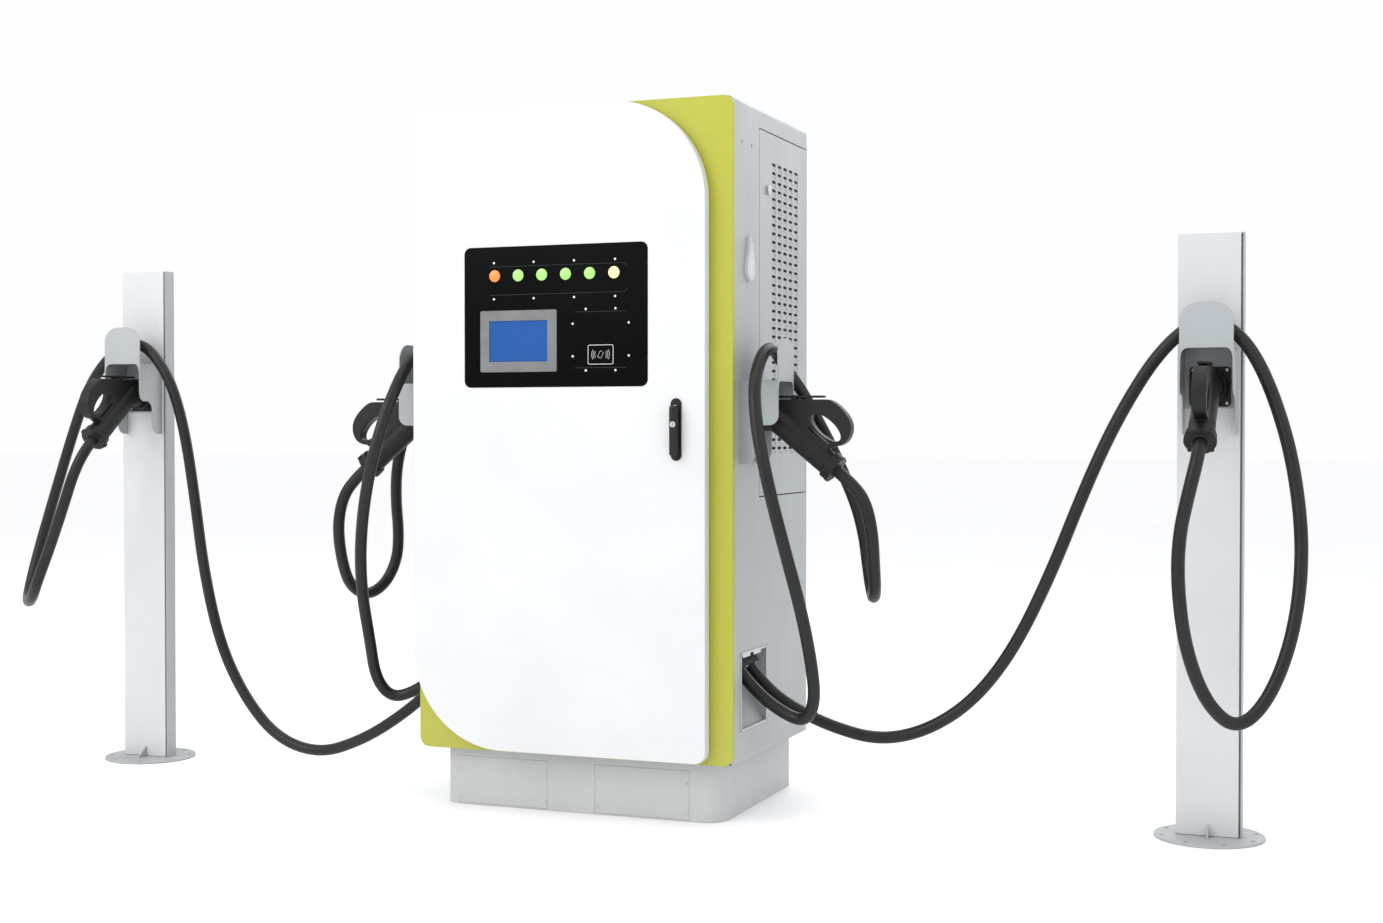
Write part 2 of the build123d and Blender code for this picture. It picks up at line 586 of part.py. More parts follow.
def control_panel():
    lamp_z = PANEL_CENTRE_Z + LAMP_ABOVE_CENTRE
    lamp_spots = [(PANEL_CENTRE_X + LAMP_FIRST_X + i * LAMP_PITCH, lamp_z) for i in range(LAMP_COUNT)]
    screen_centre = (PANEL_CENTRE_X + BEZEL_OFFSET_X, PANEL_CENTRE_Z + BEZEL_OFFSET_Z)
    with BuildPart() as glass:
        with BuildSketch(Plane.XZ.offset(-PANEL_FRONT_Y)):
            with Locations((PANEL_CENTRE_X, PANEL_CENTRE_Z)):
                RectangleRounded(PANEL_WIDTH, PANEL_HEIGHT, PANEL_CORNER_RADIUS)
        extrude(amount=-PANEL_THICKNESS)
        chamfer(glass.faces().sort_by(Axis.Y)[0].edges(), 0.6)
        with BuildSketch(Plane.XZ.offset(-PANEL_FRONT_Y)):
            with Locations(screen_centre):
                Rectangle(SCREEN_WIDTH + 2 * (SCREEN_RIM + FIT), SCREEN_HEIGHT + 2 * (SCREEN_RIM + FIT))
            with Locations(*lamp_spots):
                Circle(LAMP_RADIUS - LAMP_RIM)
        extrude(amount=-PANEL_THICKNESS, mode=Mode.SUBTRACT)
    write(glass.part, "control_panel")

    with BuildPart() as lamps:
        with BuildSketch(Plane.XZ.offset(-PANEL_FRONT_Y)):
            with Locations(*lamp_spots):
                Circle(LAMP_RADIUS)
        extrude(amount=LAMP_PROUD)
        with BuildSketch(Plane.XZ.offset(-PANEL_FRONT_Y)):
            with Locations(*lamp_spots):
                Circle(LAMP_RADIUS - LAMP_RIM - FIT)
        extrude(amount=-LAMP_DEPTH)
        fillet(lamps.faces().filter_by(Axis.Y).group_by(Axis.Y)[0].edges(), 1.6)
    write(lamps.part, "status_lamps")

    with BuildPart() as bezel:
        with BuildSketch(Plane.XZ.offset(-PANEL_FRONT_Y)):
            with Locations(screen_centre):
                RectangleRounded(BEZEL_WIDTH, BEZEL_HEIGHT, 5)
        extrude(amount=BEZEL_PROUD)
        chamfer(bezel.faces().sort_by(Axis.Y)[0].edges(), 1.0)
        with BuildSketch(Plane.XZ.offset(-PANEL_FRONT_Y)):
            with Locations(screen_centre):
                Rectangle(SCREEN_WIDTH, SCREEN_HEIGHT)
        extrude(amount=BEZEL_PROUD, mode=Mode.SUBTRACT)
    write(bezel.part, "screen_bezel")

    with BuildPart() as screen:
        with BuildSketch(Plane.XZ.offset(-PANEL_FRONT_Y)):
            with Locations(screen_centre):
                Rectangle(SCREEN_WIDTH + 2 * SCREEN_RIM, SCREEN_HEIGHT + 2 * SCREEN_RIM)
        extrude(amount=-SCREEN_DEPTH)
    write(screen.part, "screen")

    with BuildPart() as reader:
        with BuildSketch(Plane.XZ.offset(-(PANEL_FRONT_Y + PANEL_THICKNESS))):
            with Locations((PANEL_CENTRE_X + READER_OFFSET_X, PANEL_CENTRE_Z + READER_OFFSET_Z)):
                RectangleRounded(READER_SIZE, READER_SIZE, 12)
        extrude(amount=-READER_DEPTH)
    write(reader.part, "card_reader")


# ---------------------------------------------------------------- swing handle
def swing_handle():
    with BuildPart() as base:
        with BuildSketch(Plane.XZ.offset(-DOOR_FRONT_Y)):
            with Locations((HANDLE_CENTRE_X, HANDLE_CENTRE_Z)):
                SlotOverall(HANDLE_BASE_HEIGHT, HANDLE_BASE_WIDTH, rotation=90)
            with Locations((HANDLE_CENTRE_X, HANDLE_PIVOT_Z)):
                Circle(HUB_RADIUS + FIT, mode=Mode.SUBTRACT)
        extrude(amount=HANDLE_BASE_THICKNESS)
        fillet(base.faces().sort_by(Axis.Y)[0].outer_wire().edges(), 1.5)
        with BuildSketch(Plane.XZ.offset(-BASE_PLATE_FRONT_Y)):
            with Locations((HANDLE_CENTRE_X, HANDLE_CENTRE_Z - HANDLE_BASE_HEIGHT / 2 + 9)):
                Circle(4)
        extrude(amount=3)
    write(base.part, "handle_base")

    with BuildPart() as hub:
        with BuildSketch(Plane.XZ.offset(-(LEVER_BACK_Y + 1))):
            with Locations((HANDLE_CENTRE_X, HANDLE_PIVOT_Z)):
                Circle(HUB_RADIUS)
        extrude(amount=-(LEVER_STANDOFF + HANDLE_BASE_THICKNESS + DOOR_SKIN + CAM_GAP + 1))
        with BuildSketch(Plane.XZ.offset(-(DOOR_FRONT_Y + DOOR_SKIN + CAM_GAP))):
            with Locations((HANDLE_CENTRE_X, HANDLE_PIVOT_Z - CAM_LENGTH / 2 + HUB_RADIUS)):
                SlotOverall(CAM_LENGTH + 6, 2 * HUB_RADIUS + 4, rotation=90)
        extrude(amount=-CAM_THICKNESS)
    write(hub.part, "latch_cam")

    with BuildPart() as lever:
        with BuildSketch(Plane.YZ.offset(HANDLE_CENTRE_X - LEVER_WIDTH / 2)):
            with Locations((LEVER_AXIS_Y, HANDLE_PIVOT_Z)):
                Circle(LEVER_THICKNESS / 2)
            with Locations((LEVER_AXIS_Y, HANDLE_PIVOT_Z - (LEVER_LENGTH - 10) / 2)):
                Rectangle(LEVER_THICKNESS, LEVER_LENGTH - 10)
        extrude(amount=LEVER_WIDTH)
        fillet(lever.faces().sort_by(Axis.Z)[0].edges().filter_by(Axis.Y), 7)
        fillet(lever.edges().filter_by(Axis.Z).group_by(Axis.Y)[0], 3)
        with BuildSketch(Plane.XZ.offset(-LEVER_BACK_Y)):
            with Locations((HANDLE_CENTRE_X, HANDLE_PIVOT_Z - KEY_DROP)):
                Circle(KEY_RADIUS + KEY_CLEARANCE)
        extrude(amount=LEVER_THICKNESS, mode=Mode.SUBTRACT)
    write(lever.part, "handle_lever")

    with BuildPart() as key:
        with BuildSketch(Plane.XZ.offset(-(LEVER_BACK_Y - 1))):
            with Locations((HANDLE_CENTRE_X, HANDLE_PIVOT_Z - KEY_DROP)):
                Circle(KEY_RADIUS)
        extrude(amount=LEVER_THICKNESS + 0.5)
        with BuildSketch(Plane.XZ.offset(-(LEVER_BACK_Y - LEVER_THICKNESS - 1.5))):
            with Locations((HANDLE_CENTRE_X, HANDLE_PIVOT_Z - KEY_DROP)):
                Rectangle(2, 8)
        extrude(amount=-3, mode=Mode.SUBTRACT)
    write(key.part, "key_cylinder")


# ---------------------------------------------------------------- service doors and side fittings
def service_side():
    """Everything on the right side wall; the left side is its mirror image."""
    width = SERVICE_BACK_Y - SERVICE_FRONT_Y
    tall = SERVICE_TOP_Z - SERVICE_BOTTOM_Z
    centre = ((SERVICE_FRONT_Y + SERVICE_BACK_Y) / 2, (SERVICE_BOTTOM_Z + SERVICE_TOP_Z) / 2)
    wall = Plane.YZ.offset(WALL_X)
    pivot_x = WALL_X - SERVICE_PIVOT_INSET
    pivot_y = SERVICE_BACK_Y - SERVICE_PIVOT_INSET
    vent_z = VENT_BOTTOM_Z + (VENT_ROWS - 1) * VENT_ROW_PITCH / 2
    bolt_reach = SERVICE_LOCK_INSET + SERVICE_GAP + BOLT_GRIP
    with BuildPart() as door:
        with BuildSketch(wall):
            with Locations(centre):
                RectangleRounded(width, tall, 1.5)
        extrude(amount=-SHEET)
        with BuildSketch(wall.offset(-SHEET)):
            with Locations(centre):
                Rectangle(width, tall)
                Rectangle(width - 2 * SHEET, tall - 2 * SHEET, mode=Mode.SUBTRACT)
        extrude(amount=-SERVICE_FLANGE)
        with BuildSketch(wall):
            with Locations((VENT_CENTRE_Y, vent_z)):
                with GridLocations(VENT_COLUMN_PITCH, VENT_ROW_PITCH, VENT_COLUMNS, VENT_ROWS):
                    SlotOverall(SLOT_LENGTH, SLOT_HEIGHT)
        extrude(amount=-SHEET, mode=Mode.SUBTRACT)
        with BuildSketch(wall):
            with Locations((VENT_CENTRE_Y, vent_z - VENT_ROW_PITCH / 2)):
                with GridLocations(VENT_COLUMN_PITCH, VENT_ROW_PITCH, VENT_COLUMNS, VENT_ROWS):
                    SlotOverall(SLOT_LENGTH, SLOT_HEIGHT)
        extrude(amount=-DIMPLE_DEPTH, mode=Mode.SUBTRACT)
        with BuildSketch(wall):
            with Locations((SERVICE_LOCK_Y, SERVICE_LOCK_Z)):
                Circle(SPINDLE_RADIUS + FIT)
        extrude(amount=-SHEET, mode=Mode.SUBTRACT)
        # window in the front flange for the lock's bolt
        bolt_x = WALL_X - SHEET - BOLT_GAP - BOLT_THICKNESS / 2
        with Locations((bolt_x, SERVICE_FRONT_Y, SERVICE_LOCK_Z + bolt_reach / 3)):
            Box(BOLT_THICKNESS + 2 * BOLT_GAP, 4 * SHEET, bolt_reach, mode=Mode.SUBTRACT)
        # sockets for the pivot pins in the top and bottom flanges
        for level, up in ((SERVICE_BOTTOM_Z, 1), (SERVICE_TOP_Z, -1)):
            with BuildSketch(Plane.XY.offset(level)):
                with Locations((pivot_x - PIVOT_SOCKET_OFFSET, pivot_y - PIVOT_SOCKET_OFFSET)):
                    Rectangle(PIVOT_SOCKET_SIZE, PIVOT_SOCKET_SIZE)
            extrude(amount=up * PIVOT_SOCKET_HEIGHT)
        with Locations((pivot_x, pivot_y, centre[1])):
            Cylinder(SERVICE_PIN_RADIUS + SERVICE_PIN_CLEARANCE, tall + 2, mode=Mode.SUBTRACT)
    # each pin stands on a neck above a block behind the wall, clear of the housing's rounded corner
    block_y = min(pivot_y, HALF_DEPTH - BACK_CORNER_RADIUS - PIVOT_BLOCK_SIZE / 2 - 1)
    pins = []
    for level, up in ((SERVICE_BOTTOM_Z, 1), (SERVICE_TOP_Z, -1)):
        with BuildPart() as pin:
            with Locations((WALL_X - SHEET - PIVOT_BLOCK_DEPTH / 2, block_y,
                            level - up * (2 * SERVICE_GAP + PIVOT_BLOCK_HEIGHT / 2))):
                Box(PIVOT_BLOCK_DEPTH, PIVOT_BLOCK_SIZE, PIVOT_BLOCK_HEIGHT)
            with BuildSketch(Plane.XY.offset(level - up * 2 * SERVICE_GAP)):
                with Locations((WALL_X - SHEET - FIT - PIVOT_NECK / 2, block_y)):
                    Rectangle(PIVOT_NECK, PIVOT_BLOCK_SIZE)
            extrude(amount=up * (2 * SERVICE_GAP - FIT))
            with BuildSketch(Plane.XY.offset(level - up * FIT)):
                with Locations((pivot_x, pivot_y)):
                    Circle(SERVICE_PIN_RADIUS)
            extrude(amount=up * SERVICE_PIN_LENGTH)
        pins.append(pin.part)

    with BuildPart() as dust_filter:
        with BuildSketch(wall.offset(-SHEET - 1)):
            with Locations((VENT_CENTRE_Y, vent_z)):
                Rectangle(VENT_COLUMNS * VENT_COLUMN_PITCH + 2 * FILTER_BORDER,
                          VENT_ROWS * VENT_ROW_PITCH + 2 * FILTER_BORDER)
        extrude(amount=-FILTER_THICKNESS)

    with BuildPart() as lock:
        with BuildSketch(wall.offset(FACE_GAP)):
            with Locations((SERVICE_LOCK_Y, SERVICE_LOCK_Z)):
                Circle(SERVICE_LOCK_RADIUS)
        extrude(amount=SERVICE_LOCK_PROUD)
        fillet(lock.faces().sort_by(Axis.X)[-1].edges(), 2)
        with BuildSketch(wall.offset(FACE_GAP)):
            with Locations((SERVICE_LOCK_Y, SERVICE_LOCK_Z)):
                Circle(SPINDLE_RADIUS)
        extrude(amount=-SPINDLE_LENGTH)
        # the bolt stands up when open and turns to the front, behind the wall
        with BuildSketch(wall.offset(-SHEET - BOLT_GAP)):
            with Locations((SERVICE_LOCK_Y, SERVICE_LOCK_Z + (bolt_reach - SPINDLE_RADIUS) / 2)):
                SlotOverall(bolt_reach + SPINDLE_RADIUS, BOLT_WIDTH, rotation=90)
        extrude(amount=-BOLT_THICKNESS)
        with BuildSketch(wall.offset(SERVICE_LOCK_PROUD + FACE_GAP)):
            with Locations((SERVICE_LOCK_Y, SERVICE_LOCK_Z)):
                Rectangle(2.4, 11)
        extrude(amount=-3, mode=Mode.SUBTRACT)

    with BuildPart() as cover:
        with BuildSketch(wall.offset(LOCK_COVER_GAP)):
            with Locations((LOCK_COVER_Y, LOCK_COVER_PIVOT_Z)):
                Circle(LOCK_COVER_TOP_RADIUS)
            with Locations((LOCK_COVER_Y, LOCK_COVER_PIVOT_Z - LOCK_COVER_LENGTH)):
                Circle(LOCK_COVER_RADIUS)
            make_hull()
        extrude(amount=LOCK_COVER_THICKNESS)
        fillet(cover.faces().sort_by(Axis.X)[-1].edges(), 5)
        with BuildSketch(wall.offset(LOCK_COVER_GAP)):
            with Locations((LOCK_COVER_Y, LOCK_COVER_PIVOT_Z)):
                Circle(LOCK_COVER_PIN_RADIUS)
        extrude(amount=-SHEET - 4)
        with BuildSketch(wall.offset(LOCK_COVER_THICKNESS + LOCK_COVER_GAP)):
            with Locations((LOCK_COVER_Y, LOCK_COVER_PIVOT_Z)):
                RegularPolygon(3.4, 6)
        extrude(amount=-2.5, mode=Mode.SUBTRACT)

    write(door.part, "service_door_right")
    write(mirrored(door.part), "service_door_left")
    write(Compound(children=[*pins, *[mirrored(p) for p in pins]]), "service_door_pivots")
    write(dust_filter.part, "air_filter_right")
    write(mirrored(dust_filter.part), "air_filter_left")
    write(lock.part, "service_lock_right")
    write(mirrored(lock.part), "service_lock_left")
    write(cover.part, "lock_cover_right")
    write(mirrored(cover.part), "lock_cover_left")


def outlet_profile(inset, sill):
    """The pocket's outline seen from the front, drawn smaller by its wall and running out past the side."""
    mouth = WALL_X + inset / 2
    roof = OUTLET_TOP_Z - inset
    back = WALL_X - OUTLET_DEPTH + inset
    with BuildLine(mode=Mode.PRIVATE) as line:
        Polyline((mouth, OUTLET_BOTTOM_Z + sill), (mouth, roof), (back, roof),
                 (back, OUTLET_TOP_Z - OUTLET_ROOF + inset / 2),
                 (WALL_X - OUTLET_SILL_DEPTH + inset, OUTLET_BOTTOM_Z + sill), close=True)
    return line.line


def cable_outlets():
    """The sloping pocket in each side wall and the clamp that the two cables leave."""
    with BuildPart() as pocket:
        with BuildSketch(Plane.XZ.offset(-OUTLET_BACK_Y)):
            make_face(outlet_profile(0, 0).edges())
        extrude(amount=OUTLET_WIDTH)
        with BuildSketch(Plane.XZ.offset(-OUTLET_BACK_Y + OUTLET_WALL)):
            make_face(outlet_profile(OUTLET_WALL, OUTLET_SILL).edges())
        extrude(amount=OUTLET_WIDTH - 2 * OUTLET_WALL, mode=Mode.SUBTRACT)
    write(Compound(children=[pocket.part, mirrored(pocket.part)]), "cable_outlets")

    with BuildPart() as block:
        with BuildSketch(clamp_plane(CLAMP_CENTRE_Y)):
            RectangleRounded(CLAMP_WIDTH, CLAMP_HEIGHT, 4)
        extrude(amount=-CLAMP_LENGTH)
    write(Compound(children=[block.part, mirrored(block.part)]), "cable_clamps")

    middle_y = (OUTLET_FRONT_Y + OUTLET_BACK_Y) / 2
    plate_z = OUTLET_TOP_Z - OUTLET_WALL - FIT
    tabs = [CLAMP_CENTRE_Y + s * CABLE_SPACING / 2 for s in (-1, 1)]
    with BuildPart() as plates:
        with Locations((WALL_X - CLAMP_PLATE_DEPTH / 2, middle_y, plate_z - CLAMP_PLATE / 2)):
            Box(CLAMP_PLATE_DEPTH, OUTLET_WIDTH - 2 * OUTLET_WALL - 2 * FIT, CLAMP_PLATE)
        with Locations(*[(WALL_X - 1.5 * CLAMP_PLATE, y, plate_z - CLAMP_TAB_HEIGHT / 2) for y in tabs]):
            Box(CLAMP_PLATE, CLAMP_TAB_WIDTH, CLAMP_TAB_HEIGHT)
    write(Compound(children=[plates.part, mirrored(plates.part)]), "clamp_plates")


def clamp_plane(y):
    """The clamp's outer face at one place along the wall, with its normal along the cable."""
    slope = radians(CLAMP_ANGLE)
    return Plane(origin=(WALL_X - CLAMP_FACE_INSET, y, CLAMP_FACE_Z), x_dir=(0, 1, 0),
                 z_dir=(cos(slope), 0, -sin(slope)))


# ---------------------------------------------------------------- holster, socket and gun
def holsters():
    inner = HOLSTER_WIDTH / 2 - HOLSTER_SHEET
    with BuildPart() as holster:
        with BuildSketch(Plane.XZ.offset(-HOLSTER_WIDTH / 2)) as side:
            with BuildLine():
                Polyline((0, 0), (HOLSTER_DEPTH, 0), (HOLSTER_DEPTH, -HOLSTER_DEEP_HEIGHT),
                         (HOLSTER_SHALLOW_DEPTH, -HOLSTER_DEEP_HEIGHT),
                         (HOLSTER_SHALLOW_DEPTH, -HOLSTER_HEIGHT), (0, -HOLSTER_HEIGHT), close=True)
            make_face()
            step = side.vertices().sort_by_distance((HOLSTER_DEPTH, -HOLSTER_DEEP_HEIGHT))[0]
            fillet(step, HOLSTER_STEP_RADIUS)
            inside = side.vertices().sort_by_distance((HOLSTER_SHALLOW_DEPTH, -HOLSTER_DEEP_HEIGHT))[0]
            fillet(inside, HOLSTER_STEP_RADIUS)
            end = side.vertices().sort_by_distance((HOLSTER_SHALLOW_DEPTH, -HOLSTER_HEIGHT))[0]
            fillet(end, HOLSTER_END_RADIUS)
        extrude(amount=HOLSTER_WIDTH)
        with Locations((HOLSTER_DEPTH / 2 + HOLSTER_SHEET, 0, -HOLSTER_HEIGHT / 2 - HOLSTER_SHEET)):
            Box(HOLSTER_DEPTH, 2 * inner, HOLSTER_HEIGHT, mode=Mode.SUBTRACT)
        with Locations((0, 0, -HOLSTER_HEIGHT + 32)):
            Box(3 * HOLSTER_SHEET, 2 * inner, 66, mode=Mode.SUBTRACT)
        with BuildSketch(Plane.YZ) as section:
            with Locations((0, -HOLSTER_HEIGHT / 2)):
                Rectangle(HOLSTER_WIDTH, HOLSTER_HEIGHT)
            fillet(section.vertices().group_by(Axis.Y)[-1], HOLSTER_EDGE_RADIUS)
        extrude(amount=HOLSTER_DEPTH, mode=Mode.INTERSECT)
        shield = Plane(origin=(HOLSTER_DEPTH - HOLSTER_SHEET, 0, 0), z_dir=(1, 0, 0), x_dir=(0, 1, 0))
        with BuildSketch(shield) as plate:
            with Locations((0, (SHIELD_HEIGHT - SHIELD_DROP) / 2)):
                Rectangle(SHIELD_WIDTH, SHIELD_HEIGHT + SHIELD_DROP)
            fillet(plate.vertices().group_by(Axis.Y)[-1], SHIELD_CORNER_RADIUS)
        extrude(amount=HOLSTER_SHEET)
        with BuildSketch(shield) as mouth:
            with Locations((0, -HOLSTER_SHEET - 40)):
                Rectangle(SHIELD_WIDTH - 2 * SHIELD_RIM, 80)
            fillet(mouth.vertices().group_by(Axis.Y)[-1], 18)
        extrude(amount=HOLSTER_SHEET, mode=Mode.SUBTRACT)

    with BuildPart() as socket:
        with BuildSketch(Plane.YZ.offset(HOLSTER_SHEET)) as flange:
            with Locations((0, -SOCKET_DROP)):
                RectangleRounded(SOCKET_FLANGE, SOCKET_FLANGE, 9)
        extrude(amount=SOCKET_FLANGE_THICKNESS)
        with BuildSketch(Plane.YZ.offset(HOLSTER_SHEET + SOCKET_FLANGE_THICKNESS)):
            with Locations((0, -SOCKET_DROP)):
                Circle(SOCKET_BOSS_RADIUS)
        extrude(amount=SOCKET_REACH - SOCKET_FLANGE_THICKNESS)
        fillet(socket.faces().sort_by(Axis.X)[-1].edges(), 3)
        with BuildSketch(Plane.YZ.offset(HOLSTER_SHEET + SOCKET_REACH)):
            with Locations((0, -SOCKET_DROP)):
                Circle(SOCKET_BORE)
        extrude(amount=-(SOCKET_REACH - 3), mode=Mode.SUBTRACT)
        with BuildSketch(Plane.YZ.offset(HOLSTER_SHEET + SOCKET_FLANGE_THICKNESS)):
            with Locations((0, -SOCKET_DROP)):
                screw_pitch = SOCKET_FLANGE - 2 * SOCKET_SCREW_INSET
                with GridLocations(screw_pitch, screw_pitch, 2, 2):
                    Circle(4)
        extrude(amount=2)
    for place, plane in HOLSTERS.items():
        write(put(plane, holster.part), f"holster_{place}")
    write(Compound(children=[put(plane, socket.part) for plane in HOLSTERS.values()]), "gun_sockets")


def guns():
    grip = Plane(origin=GRIP_START, z_dir=GRIP_DIRECTION, x_dir=(0, 1, 0))
    nose = Plane(origin=(NOSE_TIP, 0, -SOCKET_DROP), z_dir=(1, 0, 0), x_dir=(0, 1, 0))
    head_front = 43.0
    ring_end = (238, -168)
    head_outline = [(head_front, -SOCKET_DROP), (head_front, HEAD_TOP_W - 4), (head_front + 14, HEAD_TOP_W),
                    (RING_HOLE_U, HEAD_TOP_W)]
    with BuildPart() as gun:
        with BuildSketch(nose):
            Circle(NOSE_RADIUS)
        extrude(amount=GRIP_START_U - NOSE_TIP + 6)
        chamfer(gun.faces().sort_by(Axis.X)[0].edges(), 3)
        with Locations(GRIP_START):
            Sphere(GRIP_RADIUS + 2)
        with BuildSketch(grip):
            Circle(GRIP_RADIUS)
        extrude(amount=GRIP_LENGTH)
        # collar that clamps the cable
        with BuildSketch(grip.offset(GRIP_LENGTH)):
            Circle(COLLAR_RADIUS)
        extrude(amount=COLLAR_LENGTH)
        fillet(gun.faces().sort_by(Axis(GRIP_START, GRIP_DIRECTION))[-1].edges(), 3)
        # head and ring handle, one flat plate
        with BuildSketch(Plane.XZ.offset(-HEAD_WIDTH / 2)):
            with BuildLine():
                Polyline(*head_outline)
                Spline(head_outline[-1], (254, -71), (281, -118), (264, -160), ring_end,
                       tangents=((1, 0), (-1, 0)), tangent_scalars=(1.0, 1.0))
                Polyline(ring_end, (219, -178), (head_front + 40, -SOCKET_DROP), head_outline[0])
            make_face()
        extrude(amount=HEAD_WIDTH)
        with BuildSketch(Plane.XZ.offset(-HEAD_WIDTH / 2)):
            with Locations((RING_HOLE_U, RING_HOLE_W)):
                Ellipse(RING_HOLE_LONG, RING_HOLE_SHORT, rotation=RING_HOLE_ANGLE)
        extrude(amount=HEAD_WIDTH, mode=Mode.SUBTRACT)
        # relief between the ring and the grip
        with BuildSketch(Plane.XZ.offset(-HEAD_WIDTH / 2)):
            with Locations((197, -142.5)):
                SlotOverall(72, 5, rotation=-GRIP_ANGLE)
        extrude(amount=HEAD_WIDTH, mode=Mode.SUBTRACT)
        # ears that hold the latch's pin
        with BuildSketch(Plane.XZ.offset(-HEAD_WIDTH / 2)):
            with Locations((LATCH_PIVOT_U, LATCH_BOTTOM_W + 0.5)):
                Circle(LATCH_PIN_RADIUS + 3.5)
            with Locations((LATCH_PIVOT_U, LATCH_BOTTOM_W - 3)):
                Rectangle(2 * LATCH_PIN_RADIUS + 7, 6)
        extrude(amount=HEAD_WIDTH)
        with Locations((LATCH_PIVOT_U, 0, LATCH_BOTTOM_W + 5.5)):
            Box(20, LATCH_WIDTH + 1.0, 19, mode=Mode.SUBTRACT)
        with Locations(Location((LATCH_PIVOT_U, 0, LATCH_BOTTOM_W + LATCH_THICKNESS / 2), (90, 0, 0))):
            Cylinder(LATCH_PIN_RADIUS, LATCH_WIDTH + 3)

    latch_middle = LATCH_START_U + LATCH_LENGTH / 2
    with BuildPart() as latch:
        with BuildSketch(Plane.XZ.offset(-LATCH_WIDTH / 2)):
            with Locations((latch_middle, LATCH_BOTTOM_W + LATCH_THICKNESS / 2)):
                Rectangle(LATCH_LENGTH, LATCH_THICKNESS)
        extrude(amount=LATCH_WIDTH)
        fillet(latch.edges().filter_by(Axis.Z).group_by(Axis.X)[-1], 4)
        with Locations(Location((LATCH_PIVOT_U, 0, LATCH_BOTTOM_W + LATCH_THICKNESS / 2), (90, 0, 0))):
            Cylinder(LATCH_PIN_RADIUS + 2.2, LATCH_WIDTH)
            Cylinder(LATCH_PIN_RADIUS + 0.3, LATCH_WIDTH + 2, mode=Mode.SUBTRACT)
    for place, plane in HOLSTERS.items():
        write(put(plane, gun.part), f"gun_{place}")
        write(put(plane, latch.part), f"gun_latch_{place}")


# ---------------------------------------------------------------- satellite posts
def posts():
    cover_width = POST_WIDTH - POST_WALL - POST_GROOVE
    cover_back = POST_FRONT_Y + POST_COVER_THICKNESS
    for side, x in (("right", POST_X), ("left", -POST_X)):
        cover_x = x - (POST_WIDTH - cover_width) / 2
        with BuildPart() as column:
            with BuildSketch(Plane.XY.offset(BASE_THICKNESS)) as outline:
                with Locations((x, POST_Y)):
                    Rectangle(POST_WIDTH, POST_DEPTH)
                fillet(outline.vertices(), 2.5)
            extrude(amount=POST_HEIGHT - BASE_THICKNESS)
            with BuildSketch(Plane.XY.offset(BASE_THICKNESS)):
                with Locations((x, POST_Y - POST_WALL)):
                    Rectangle(POST_WIDTH - 2 * POST_WALL, POST_DEPTH)
                with Locations((x - POST_WIDTH / 2, POST_FRONT_Y)):
                    Rectangle(4 * POST_WALL, 2 * POST_COVER_THICKNESS)
            extrude(amount=POST_HEIGHT - BASE_THICKNESS - POST_WALL, mode=Mode.SUBTRACT)
            # inner lip that the cover screws to, behind the groove
            with BuildSketch(Plane.XY.offset(BASE_THICKNESS)):
                with Locations((x + POST_WIDTH / 2 - POST_WALL - 10, cover_back + 8 + POST_WALL / 2)):
                    Rectangle(20, POST_WALL)
            extrude(amount=POST_HEIGHT - BASE_THICKNESS - POST_WALL)
            with BuildSketch(Plane.XY.offset(POST_HEIGHT)):
                with Locations((x, POST_FRONT_Y)):
                    Rectangle(POST_WIDTH + 2, 2 * POST_COVER_THICKNESS)
            extrude(amount=-POST_WALL, mode=Mode.SUBTRACT)
        with BuildPart() as cover:
            with BuildSketch(Plane.XY.offset(BASE_THICKNESS + 1)):
                with Locations((cover_x, POST_FRONT_Y + POST_COVER_THICKNESS / 2)):
                    Rectangle(cover_width, POST_COVER_THICKNESS)
            extrude(amount=POST_HEIGHT - BASE_THICKNESS - 1)
            fillet(cover.edges().filter_by(Axis.Y).group_by(Axis.Z)[-1].sort_by(Axis.X)[0], 4)
            fillet(cover.edges().filter_by(Axis.Z).group_by(Axis.Y)[0], 1.2)
        with BuildPart() as base:
            with BuildSketch():
                with Locations((x, POST_Y)):
                    Circle(BASE_RADIUS)
                    with PolarLocations(BASE_BOLT_CIRCLE / 2, BASE_BOLT_COUNT, start_angle=22.5):
                        Circle(BASE_HOLE_RADIUS, mode=Mode.SUBTRACT)
                    with Locations((0, 4)):
                        Circle(12, mode=Mode.SUBTRACT)
            extrude(amount=BASE_THICKNESS)
            fillet(base.faces().sort_by(Axis.Z)[-1].outer_wire().edges(), 1.5)
            for toward in (-1, 1):
                foot = POST_Y + toward * POST_DEPTH / 2
                with BuildSketch(Plane.YZ.offset(x - GUSSET_THICKNESS / 2)):
                    with BuildLine():
                        Polyline((foot, BASE_THICKNESS), (foot + toward * GUSSET_LENGTH, BASE_THICKNESS),
                                 (foot, BASE_THICKNESS + GUSSET_HEIGHT), close=True)
                    make_face()
                extrude(amount=GUSSET_THICKNESS)
        write(column.part, f"post_column_{side}")
        write(cover.part, f"post_cover_{side}")
        write(base.part, f"post_base_{side}")


